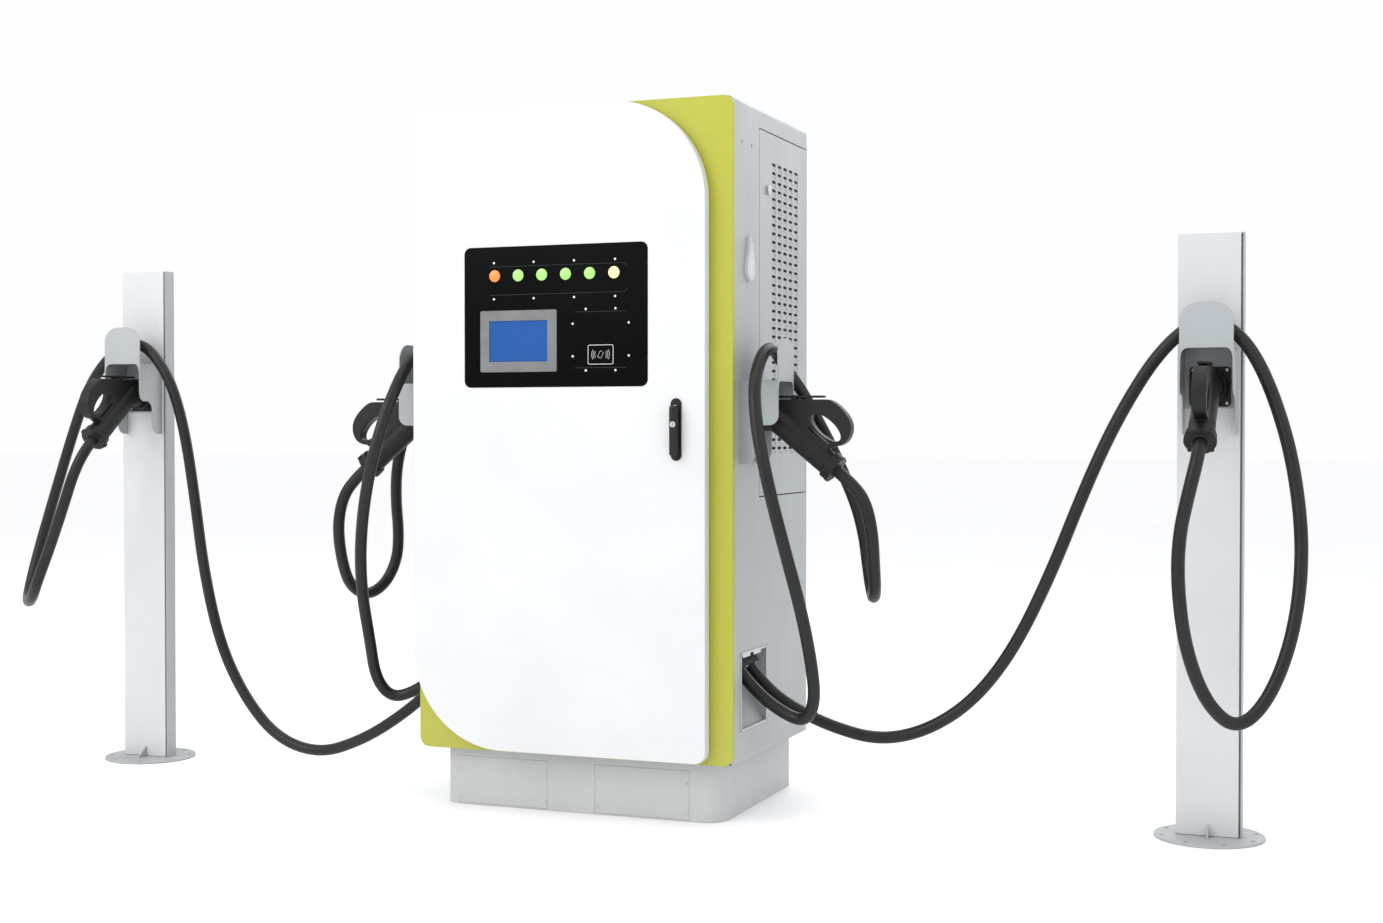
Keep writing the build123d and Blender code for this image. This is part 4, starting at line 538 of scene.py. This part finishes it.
RIGHT_ROUTE = [
    (0.540, -0.197, 0.279), (0.603, -0.210, 0.262), (0.638, -0.236, 0.318), (0.636, -0.268, 0.430),
    (0.626, -0.325, 0.565), (0.602, -0.372, 0.705), (0.568, -0.398, 0.860), (0.532, -0.388, 1.010),
    (0.510, -0.345, 1.120), (0.506, -0.282, 1.190), (0.506, -0.225, 1.216), (0.506, -0.168, 1.214),
    (0.520, -0.123, 1.168), (0.556, -0.113, 1.118), (0.592, -0.107, 1.052), (0.632, -0.097, 0.975),
    (0.664, -0.074, 0.892), (0.688, -0.036, 0.810), (0.700, -0.004, 0.728), (0.708, 0.000, 0.655),
    (0.726, -0.032, 0.594), (0.750, -0.092, 0.570), (0.770, -0.150, 0.600), (0.776, -0.186, 0.668),
    (0.777, -0.206, 0.752), (0.758, -0.206, 0.830),
]
LEFT_ROUTE = [
    (-0.540, -0.197, 0.279), (-0.603, -0.210, 0.262), (-0.638, -0.236, 0.318), (-0.637, -0.268, 0.430),
    (-0.628, -0.325, 0.565), (-0.604, -0.372, 0.705), (-0.568, -0.398, 0.860), (-0.532, -0.388, 1.010),
    (-0.510, -0.345, 1.120), (-0.506, -0.282, 1.190), (-0.506, -0.225, 1.216), (-0.506, -0.168, 1.214),
    (-0.520, -0.123, 1.168), (-0.556, -0.113, 1.118), (-0.592, -0.107, 1.052), (-0.632, -0.097, 0.975),
    (-0.664, -0.074, 0.890), (-0.688, -0.035, 0.800), (-0.698, -0.002, 0.710), (-0.706, 0.002, 0.630),
    (-0.726, -0.032, 0.560), (-0.750, -0.092, 0.532), (-0.770, -0.150, 0.562), (-0.776, -0.186, 0.636),
    (-0.776, -0.208, 0.740), (-0.757, -0.206, 0.825),
]
RIGHT_POST_ROUTE = [
    (0.535, -0.112, 0.283), (0.640, -0.100, 0.236), (0.760, -0.080, 0.205), (0.880, -0.065, 0.232),
    (1.000, -0.060, 0.312), (1.105, -0.062, 0.448), (1.200, -0.065, 0.645), (1.280, -0.068, 0.850),
    (1.350, -0.070, 1.008), (1.424, -0.072, 1.138), (1.480, -0.072, 1.213), (1.545, -0.072, 1.268),
    (1.615, -0.072, 1.268), (1.682, -0.074, 1.205), (1.740, -0.086, 1.075), (1.784, -0.110, 0.915),
    (1.806, -0.138, 0.720), (1.788, -0.165, 0.530), (1.735, -0.190, 0.375), (1.665, -0.215, 0.302),
    (1.597, -0.240, 0.362), (1.550, -0.258, 0.490), (1.532, -0.270, 0.640), (1.535, -0.270, 0.760),
    (1.562, -0.302, 0.868),
]
LEFT_POST_ROUTE = [
    (-0.535, -0.112, 0.270), (-0.640, -0.105, 0.190), (-0.770, -0.088, 0.115), (-0.925, -0.070, 0.062),
    (-1.075, -0.062, 0.098), (-1.190, -0.060, 0.215), (-1.275, -0.060, 0.370), (-1.330, -0.060, 0.580),
    (-1.362, -0.060, 0.800), (-1.392, -0.062, 0.985), (-1.430, -0.066, 1.125), (-1.480, -0.070, 1.215),
    (-1.545, -0.072, 1.270), (-1.615, -0.072, 1.262), (-1.692, -0.070, 1.203), (-1.752, -0.068, 1.120),
    (-1.808, -0.068, 0.985), (-1.866, -0.076, 0.810), (-1.908, -0.100, 0.640), (-1.908, -0.142, 0.530),
    (-1.868, -0.200, 0.486), (-1.800, -0.262, 0.498), (-1.745, -0.300, 0.560), (-1.700, -0.305, 0.650),
    (-1.650, -0.305, 0.770), (-1.606, -0.308, 0.880),
]
# Each cable: its side of the cabinet, its place in the clamp, its route and the run where it is cut.
CABLES = {
    "right": (1, -0.5, RIGHT_ROUTE, 25),
    "left": (-1, -0.5, LEFT_ROUTE, 25),
    "post_right": (1, 0.5, RIGHT_POST_ROUTE, 24),
    "post_left": (-1, 0.5, LEFT_POST_ROUTE, 25),
}
# Each holster's origin on its wall and the way that it faces.
HOLSTERS = {
    "right": ((WALL_X, HOLSTER_Y, HOLSTER_Z), (1, 0, 0)),
    "left": ((-WALL_X, HOLSTER_Y, HOLSTER_Z), (-1, 0, 0)),
    "post_right": ((POST_X, POST_FRONT_Y, POST_HOLSTER_Z), (0, -1, 0)),
    "post_left": ((-POST_X, POST_FRONT_Y, POST_HOLSTER_Z), (0, -1, 0)),
}


def holster_matrix(place):
    """Takes the holster's own frame, x outwards and z up, to where that holster stands."""
    origin, out = HOLSTERS[place]
    out, up = Vector(out), Vector((0, 0, 1))
    side = up.cross(out)
    turned = Matrix((out, side, up)).transposed().to_4x4()
    return Matrix.Translation(origin) @ turned


def cable_points(place):
    side, shift, route, cut = CABLES[place]
    start = Vector((side * CLAMP_X, CLAMP_Y + shift * CABLE_SPACING, CLAMP_Z))
    start_way = Vector((side * cos(CLAMP_ANGLE), 0, -sin(CLAMP_ANGLE)))
    stand = holster_matrix(place)
    end = stand @ GUN_EXIT
    end_way = stand.to_3x3() @ GRIP_WAY
    points = [start, start + start_way * FIRST_RUN, *map(Vector, route), end + end_way * LAST_RUN, end]
    return points, cut


def smooth_route(points):
    """The points that a NURBS spline passes when these are its control points."""
    curve = bpy.data.curves.new("route", "CURVE")
    curve.dimensions = "3D"
    curve.resolution_u = 10
    spline = curve.splines.new("NURBS")
    spline.points.add(len(points) - 1)
    for control, point in zip(spline.points, points):
        control.co = (*point, 1)
    spline.order_u = 3
    spline.use_endpoint_u = True
    holder = bpy.data.objects.new("route", curve)
    bpy.context.scene.collection.objects.link(holder)
    bpy.context.view_layer.update()
    mesh = bpy.data.meshes.new_from_object(holder)
    path = [v.co.copy() for v in mesh.vertices]
    bpy.data.objects.remove(holder)
    bpy.data.meshes.remove(mesh)
    bpy.data.curves.remove(curve)
    return path


def cables(materials):
    for place in CABLES:
        points, cut = cable_points(place)
        path = smooth_route(points)
        middle = (points[cut] + points[cut + 1]) / 2
        split = min(range(len(path)), key=lambda i: (path[i] - middle).length)
        lower, upper = path[: split + 1], path[split:]

        label = f"cable_jacket_{place}"
        fixed = piece(label, tube_mesh(label, lower, CABLE_RADIUS), materials["jacket"], "station",
                      TUBE_SMOOTH_ANGLE)
        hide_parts(f"cable_{place}")

        label = f"cable_jacket_tail_{place}"
        moving = piece(label, tube_mesh(label, upper, CABLE_RADIUS), materials["jacket"], None,
                       TUBE_SMOOTH_ANGLE)
        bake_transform(moving)
        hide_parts(f"cable_tail_{place}")


# ---------------------------------------------------------------- guns
GUN_VOXEL = 0.0018
SMOOTHING_STEPS = 5
SMOOTHING_SHARE = 0.5
KEPT_FACES = 0.45
CLAMP_SCREWS = 4
CLAMP_SCREW_RADIUS = 0.0362
GRIP_RIDGES = 5
FIRST_RIDGE = 0.150
RIDGE_SPACING = 0.0075
# Turned outlines, as (radius, distance along the axis) pairs.
CLAMP_RING = [
    (0.0345, 0.001), (0.0372, 0.002), (0.0372, 0.007), (0.0352, 0.0085), (0.0352, 0.0155), (0.0384, 0.017),
    (0.0384, 0.0245), (0.0368, 0.0264), (0.0215, 0.0266), (0.0195, 0.0284), (0.0166, 0.0284), (0.0166, 0.012),
    (0.030, 0.010), (0.0345, 0.001),
]
SCREW_EYE = [
    (0, 0.0142), (0.0046, 0.0142), (0.0054, 0.0152), (0.0054, 0.0252), (0.0046, 0.0262), (0.0030, 0.0262),
    (0.0026, 0.0246), (0, 0.0246),
]
RIDGE = [(0.0300, 0), (0.0313, 0.0006), (0.0316, 0.0016), (0.0313, 0.0026), (0.0300, 0.0032)]


def rounded_copy(source, name):
    """A copy of a CAD mesh with its sharp edges melted to small rounds, as a moulding has."""
    work = bpy.data.objects.new(name, source.data.copy())
    bpy.context.scene.collection.objects.link(work)
    remesh = work.modifiers.new("remesh", "REMESH")
    remesh.mode = "VOXEL"
    remesh.voxel_size = GUN_VOXEL
    remesh.use_smooth_shade = True
    smooth = work.modifiers.new("smooth", "SMOOTH")
    smooth.factor = SMOOTHING_SHARE
    smooth.iterations = SMOOTHING_STEPS
    thin = work.modifiers.new("thin", "DECIMATE")
    thin.ratio = KEPT_FACES
    bpy.context.view_layer.update()
    graph = bpy.context.evaluated_depsgraph_get()
    mesh = bpy.data.meshes.new_from_object(work.evaluated_get(graph))
    bpy.data.objects.remove(work)
    mesh.name = name
    return mesh


def gun_fittings():
    """Clamp ring with its screw eyes and the ridges on the grip, in the gun's own frame."""
    bm = bmesh.new()
    collar_start = GRIP_START + GRIP_WAY * GRIP_LENGTH
    lathe(bm, CLAMP_RING, collar_start, GRIP_WAY, steps=48)
    side = Vector((0, 1, 0))
    above = GRIP_WAY.cross(side)
    for screw in range(CLAMP_SCREWS):
        angle = 2 * pi * (screw + 0.5) / CLAMP_SCREWS
        spot = collar_start + (side * cos(angle) + above * sin(angle)) * CLAMP_SCREW_RADIUS
        lathe(bm, SCREW_EYE, spot, GRIP_WAY, steps=20)
    for ridge in range(GRIP_RIDGES):
        spot = GRIP_START + GRIP_WAY * (FIRST_RIDGE + RIDGE_SPACING * ridge)
        lathe(bm, RIDGE, spot, GRIP_WAY, steps=48)
    return finish_mesh(bm, "gun_fittings")


def guns(materials):
    stand = holster_matrix("right")
    shell = rounded_copy(nodes["gun_right"], "gun_shell")
    shell.transform(stand.inverted())
    fittings = gun_fittings()
    for place in PLACES:
        there = holster_matrix(place)
        body = f"gun_{place}"
        for label, source, angle in (("gun_shell", shell, 50), ("gun_clamp_ring", fittings, 35)):
            mesh = source.copy()
            mesh.transform(there)
            made = piece(f"{label}_{place}", mesh, materials["plastic"], body, angle)
            if label == "gun_shell":
                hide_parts(body)


# ---------------------------------------------------------------- control panel
PRINT_DEPTH = 0.00025
LAMP_TONES = ("orange", "green", "green", "green", "green", "amber")
LENS_RIM = 0.0010
LENS_RISE = 0.0019
LENS_SINK = 0.0020
DOT_RADIUS = 0.0031
DOT_SPACING = 0.1152
DOT_COLUMNS = 4
DOTS_LEFT_OF_MIDDLE = 0.174
DOTS_ABOVE_LAMPS = 0.034
DOTS_BELOW_LAMPS = 0.0605
# The card reader's middle from the panel's, and its dots as steps across and up from there.
READER_ACROSS = 0.131
READER_BELOW = 0.063
READER_DOTS = ((0.0415, 0.079), (0.0785, 0.042))
CARD_MARK_BELOW = 0.0385
MARK_HALF_WIDTH = 0.035
MARK_HALF_HEIGHT = 0.0245
MARK_CORNER = 0.004
MARK_LINE = 0.0014
WAVES = 3
FIRST_WAVE = 0.016
WAVE_STEP = 0.0045
WAVE_HALF_ANGLE = 32
WAVE_FLATTENING = 0.95
THIN_LINE = 0.0009
CARD_HALF_WIDTH = 0.0052
CARD_HALF_HEIGHT = 0.0085
CARD_TILT = -28
# The faint lines: their width, and how far they stand from the lamps, the dots and the reader.
FAINT_LINE = 0.0012
LINE_ABOVE_LAMPS = 0.024
LINE_BELOW_LAMPS = 0.050
LINE_LEFT_OF_DOTS = 0.012
LINE_RIGHT_OF_DOTS = 0.020
LINE_STEPS = 8
HOOK_ACROSS = 0.014
HOOK_UP = 0.010
LINE_FROM_READER = 0.072


def arc_points(centre, across, up, start, end, steps=14):
    """Points on an ellipse in the XZ plane, from one angle to another in degrees."""
    angles = [radians(start + (end - start) * i / steps) for i in range(steps + 1)]
    return [(centre[0] + across * cos(angle), centre[1] + up * sin(angle)) for angle in angles]


def lamp_lenses(materials, front):
    """Six domed lenses standing out of the panel's front."""
    low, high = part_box("status_lamps")
    radius = (high.z - low.z) / 2
    first = low.x + radius
    pitch = (high.x - low.x - 2 * radius) / (len(LAMP_TONES) - 1)
    dome = [(0, -LENS_SINK), (radius * 0.985, -LENS_SINK), (radius, -0.0002), (radius, LENS_RIM)]
    dome += [(radius * cos(radians(a)), LENS_RIM + LENS_RISE * sin(radians(a))) for a in (15, 30, 45, 60, 75)]
    dome += [(0, LENS_RIM + LENS_RISE)]
    for number, tone in enumerate(LAMP_TONES):
        bm = bmesh.new()
        lathe(bm, dome, (first + number * pitch, front, (low.z + high.z) / 2), (0, -1, 0), steps=40)
        made = piece(f"status_lens_{number + 1}", finish_mesh(bm, "lens"), materials[tone], "front_door",
                     smooth_angle=40)
        if number == 0:
            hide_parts("status_lamps")


def print_dots(bm, spots, front):
    outline = [(0, 0), (DOT_RADIUS, 0), (DOT_RADIUS, PRINT_DEPTH * 0.6), (DOT_RADIUS * 0.8, PRINT_DEPTH),
               (0, PRINT_DEPTH)]
    for x, z in spots:
        lathe(bm, outline, (x, front, z), (0, -1, 0), steps=14)


def print_card_mark(bm, mark, front):
    """The contactless sign: a card between two sets of waves, inside a rounded frame."""
    border = []
    for across, up, start in ((1, 1, 0), (-1, 1, 90), (-1, -1, 180), (1, -1, 270)):
        corner = (mark[0] + across * (MARK_HALF_WIDTH - MARK_CORNER),
                  mark[1] + up * (MARK_HALF_HEIGHT - MARK_CORNER))
        border += arc_points(corner, MARK_CORNER, MARK_CORNER, start, start + 90, 5)
    ribbon(bm, [*border, border[0]], MARK_LINE, front, -PRINT_DEPTH)
    for facing in (180, 0):
        for wave in range(WAVES):
            reach = FIRST_WAVE + WAVE_STEP * wave
            arc = arc_points(mark, reach, reach * WAVE_FLATTENING, facing - WAVE_HALF_ANGLE,
                             facing + WAVE_HALF_ANGLE)
            ribbon(bm, arc, THIN_LINE, front, -PRINT_DEPTH)
    tilt = Matrix.Rotation(radians(CARD_TILT), 2)
    card = []
    for across, up in ((-1, -1), (1, -1), (1, 1), (-1, 1)):
        corner = tilt @ Vector((across * CARD_HALF_WIDTH, up * CARD_HALF_HEIGHT))
        card.append((mark[0] + corner.x, mark[1] + corner.y))
    ribbon(bm, [*card, card[0]], THIN_LINE, front, -PRINT_DEPTH)


def control_panel(materials):
    low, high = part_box("control_panel")
    front = low.y
    middle = (low + high) / 2
    lamp_low, lamp_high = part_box("status_lamps")
    lamp_z = (lamp_low.z + lamp_high.z) / 2
    lamp_lenses(materials, front)

    # printed dots: a row above and a row below the lamps, and a ring round the reader
    bm = bmesh.new()
    row_x = [middle.x - DOTS_LEFT_OF_MIDDLE + DOT_SPACING * i for i in range(DOT_COLUMNS)]
    rows = [(x, lamp_z + dz) for dz in (DOTS_ABOVE_LAMPS, -DOTS_BELOW_LAMPS) for x in row_x]
    reader = (middle.x + READER_ACROSS, middle.z - READER_BELOW)
    ring = [(reader[0] + sx * dx, reader[1] + sz * dz)
            for dx, dz in READER_DOTS for sx in (-1, 1) for sz in (-1, 1)]
    print_dots(bm, rows + ring, front)
    print_card_mark(bm, (reader[0], reader[1] - CARD_MARK_BELOW), front)
    piece("panel_markings", finish_mesh(bm, "panel_markings"), materials["ink"], "front_door")

    # faint lines above and below the lamps and the reader
    bm = bmesh.new()
    x0, x1 = row_x[0] - LINE_LEFT_OF_DOTS, row_x[-1] + LINE_RIGHT_OF_DOTS
    for z, turn in ((lamp_z + LINE_ABOVE_LAMPS, 1), (lamp_z - LINE_BELOW_LAMPS, -1)):
        line = [(x0 + (x1 - x0) * i / LINE_STEPS, z) for i in range(LINE_STEPS)]
        line += arc_points((x1, z - turn * HOOK_UP), HOOK_ACROSS, HOOK_UP, 90 * turn, 10 * turn, 8)
        ribbon(bm, line, FAINT_LINE, front, -PRINT_DEPTH)
    for z in (reader[1] + LINE_FROM_READER, reader[1] - LINE_FROM_READER):
        line = [(reader[0] + step * LINE_FROM_READER, z) for step in (-1, 0, 1)]
        ribbon(bm, line, FAINT_LINE, front, -PRINT_DEPTH)
    piece("panel_outlines", finish_mesh(bm, "panel_outlines"), materials["faint"], "front_door")


# ---------------------------------------------------------------- fasteners and small fittings
def screw_head(bm, centre, axis, radius, height):
    """A domed head with a socket in it."""
    socket = radius * 0.45
    lathe(bm, [(0, -0.0005), (radius * 0.92, -0.0005), (radius, 0.0003), (radius, height * 0.45),
               (radius * 0.86, height * 0.85), (radius * 0.62, height), (socket, height),
               (socket * 0.92, height * 0.35), (0, height * 0.35)], centre, axis, steps=20)


BACK_SCREW_INSET = 0.015
BACK_SCREW_ROWS = 5
# Each kind of screw head is its radius and its height.
BACK_SCREW = (0.0055, 0.0028)
# The socket's screws in the holster's own frame: out from the wall, to each side, and up.
SOCKET_SCREW_OUT = 0.011
SOCKET_SCREW_ACROSS = 0.0405
SOCKET_SCREW_HEIGHTS = (-0.1355, -0.0545)
SOCKET_SCREW = (0.0042, 0.002)


def screw_heads(materials):
    bm = bmesh.new()
    low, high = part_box("back_panel")
    step = (high.z - low.z - 2 * BACK_SCREW_INSET) / (BACK_SCREW_ROWS - 1)
    for x in (low.x + BACK_SCREW_INSET, high.x - BACK_SCREW_INSET):
        for row in range(BACK_SCREW_ROWS):
            z = low.z + BACK_SCREW_INSET + row * step
            screw_head(bm, (x, high.y, z), (0, 1, 0), *BACK_SCREW)
    for place in PLACES:
        stand = holster_matrix(place)
        way = stand.to_3x3() @ Vector((1, 0, 0))
        for across in (-SOCKET_SCREW_ACROSS, SOCKET_SCREW_ACROSS):
            for height in SOCKET_SCREW_HEIGHTS:
                screw_head(bm, stand @ Vector((SOCKET_SCREW_OUT, across, height)), way, *SOCKET_SCREW)
    piece("screw_heads", finish_mesh(bm, "screw_heads"), materials["steel"], "station",
          smooth_angle=35)


# The edging reaches this far over the opening, this far past it and this far off the wall.
EDGING_INSIDE = 0.003
EDGING_OUTSIDE = 0.0012
EDGING_HEIGHT = 0.0022


def outlet_edging(materials):
    """The raised edging round the cable outlet in each side wall."""
    bm = bmesh.new()
    low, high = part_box("cable_outlets")
    loop = [(low.y, low.z), (high.y, low.z), (high.y, high.z), (low.y, high.z)]
    for side in (-1, 1):
        out = Vector((side * EDGING_HEIGHT, 0, 0))
        for (ya, za), (yb, zb) in zip(loop, loop[1:] + loop[:1]):
            along = Vector((0, yb - ya, zb - za)).normalized()
            across = Vector((0, along.z, -along.y))
            start = Vector((side * WALL_X, ya, za)) - along * EDGING_INSIDE
            end = Vector((side * WALL_X, yb, zb)) + along * EDGING_INSIDE
            inner, outer = across * -EDGING_INSIDE, across * EDGING_OUTSIDE
            section = [inner, outer, outer + out, inner + out]
            outline_solid(bm, [start + s for s in section], end - start)
    piece("outlet_edging", finish_mesh(bm, "outlet_edging"), materials["cover"], "station")


BLOCK_HALF_WIDTH = 0.077
BLOCK_HALF_HEIGHT = 0.0205
BLOCK_LENGTH = 0.0385
BLOCK_ROUNDING = 0.004
BLOCK_SINK = 0.001
GROMMET = [(0.0164, 0), (0.0225, 0), (0.0225, 0.0036), (0.0205, 0.0052), (0.0164, 0.0052), (0.0164, 0)]
GROMMET_SINK = 0.004
# Along the block, in cable spacings.
CLAMP_BOLT_SHIFTS = (-0.82, 0.0, 0.82)
CLAMP_BOLT_UP = 0.008
CLAMP_BOLT = (0.0042, 0.003)


def cable_clamps(materials):
    """Each outlet's clamp: a rubber block, a raised ring round each cable and three bolt heads."""
    for side in (-1, 1):
        label = "right" if side > 0 else "left"
        way = Vector((side * cos(CLAMP_ANGLE), 0, -sin(CLAMP_ANGLE)))
        along = Vector((0, 1, 0))
        up = Vector((side * sin(CLAMP_ANGLE), 0, cos(CLAMP_ANGLE)))
        face = Vector((side * CLAMP_X, CLAMP_Y, CLAMP_Z))
        front = face - way * BLOCK_SINK
        outline = []
        for sx, sz, start in ((1, 1, 0), (-1, 1, 90), (-1, -1, 180), (1, -1, 270)):
            for step in range(5):
                angle = radians(start + 90 * step / 4)
                across = sx * (BLOCK_HALF_WIDTH - BLOCK_ROUNDING) + BLOCK_ROUNDING * cos(angle)
                above = sz * (BLOCK_HALF_HEIGHT - BLOCK_ROUNDING) + BLOCK_ROUNDING * sin(angle)
                outline.append(front + along * across + up * above)
        bm = bmesh.new()
        outline_solid(bm, outline, -way * BLOCK_LENGTH)
        for shift in (-0.5, 0.5):
            lathe(bm, GROMMET, face + along * shift * CABLE_SPACING - way * GROMMET_SINK, way)
        block = piece(f"clamp_block_{label}", finish_mesh(bm, "clamp_block"), materials["rubber"], "station",
                      smooth_angle=35)
        if side > 0:
            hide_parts("cable_clamps")
        bm = bmesh.new()
        for shift in CLAMP_BOLT_SHIFTS:
            screw_head(bm, front + along * shift * CABLE_SPACING + up * CLAMP_BOLT_UP, way, *CLAMP_BOLT)
        piece(f"clamp_bolts_{label}", finish_mesh(bm, "clamp_bolts"), materials["steel"], "station",
              smooth_angle=35)


materials = make_materials()
place_camera()
light_studio()
lay_floor()
dress(materials)
cables(materials)
guns(materials)
control_panel(materials)
screw_heads(materials)
outlet_edging(materials)
cable_clamps(materials)
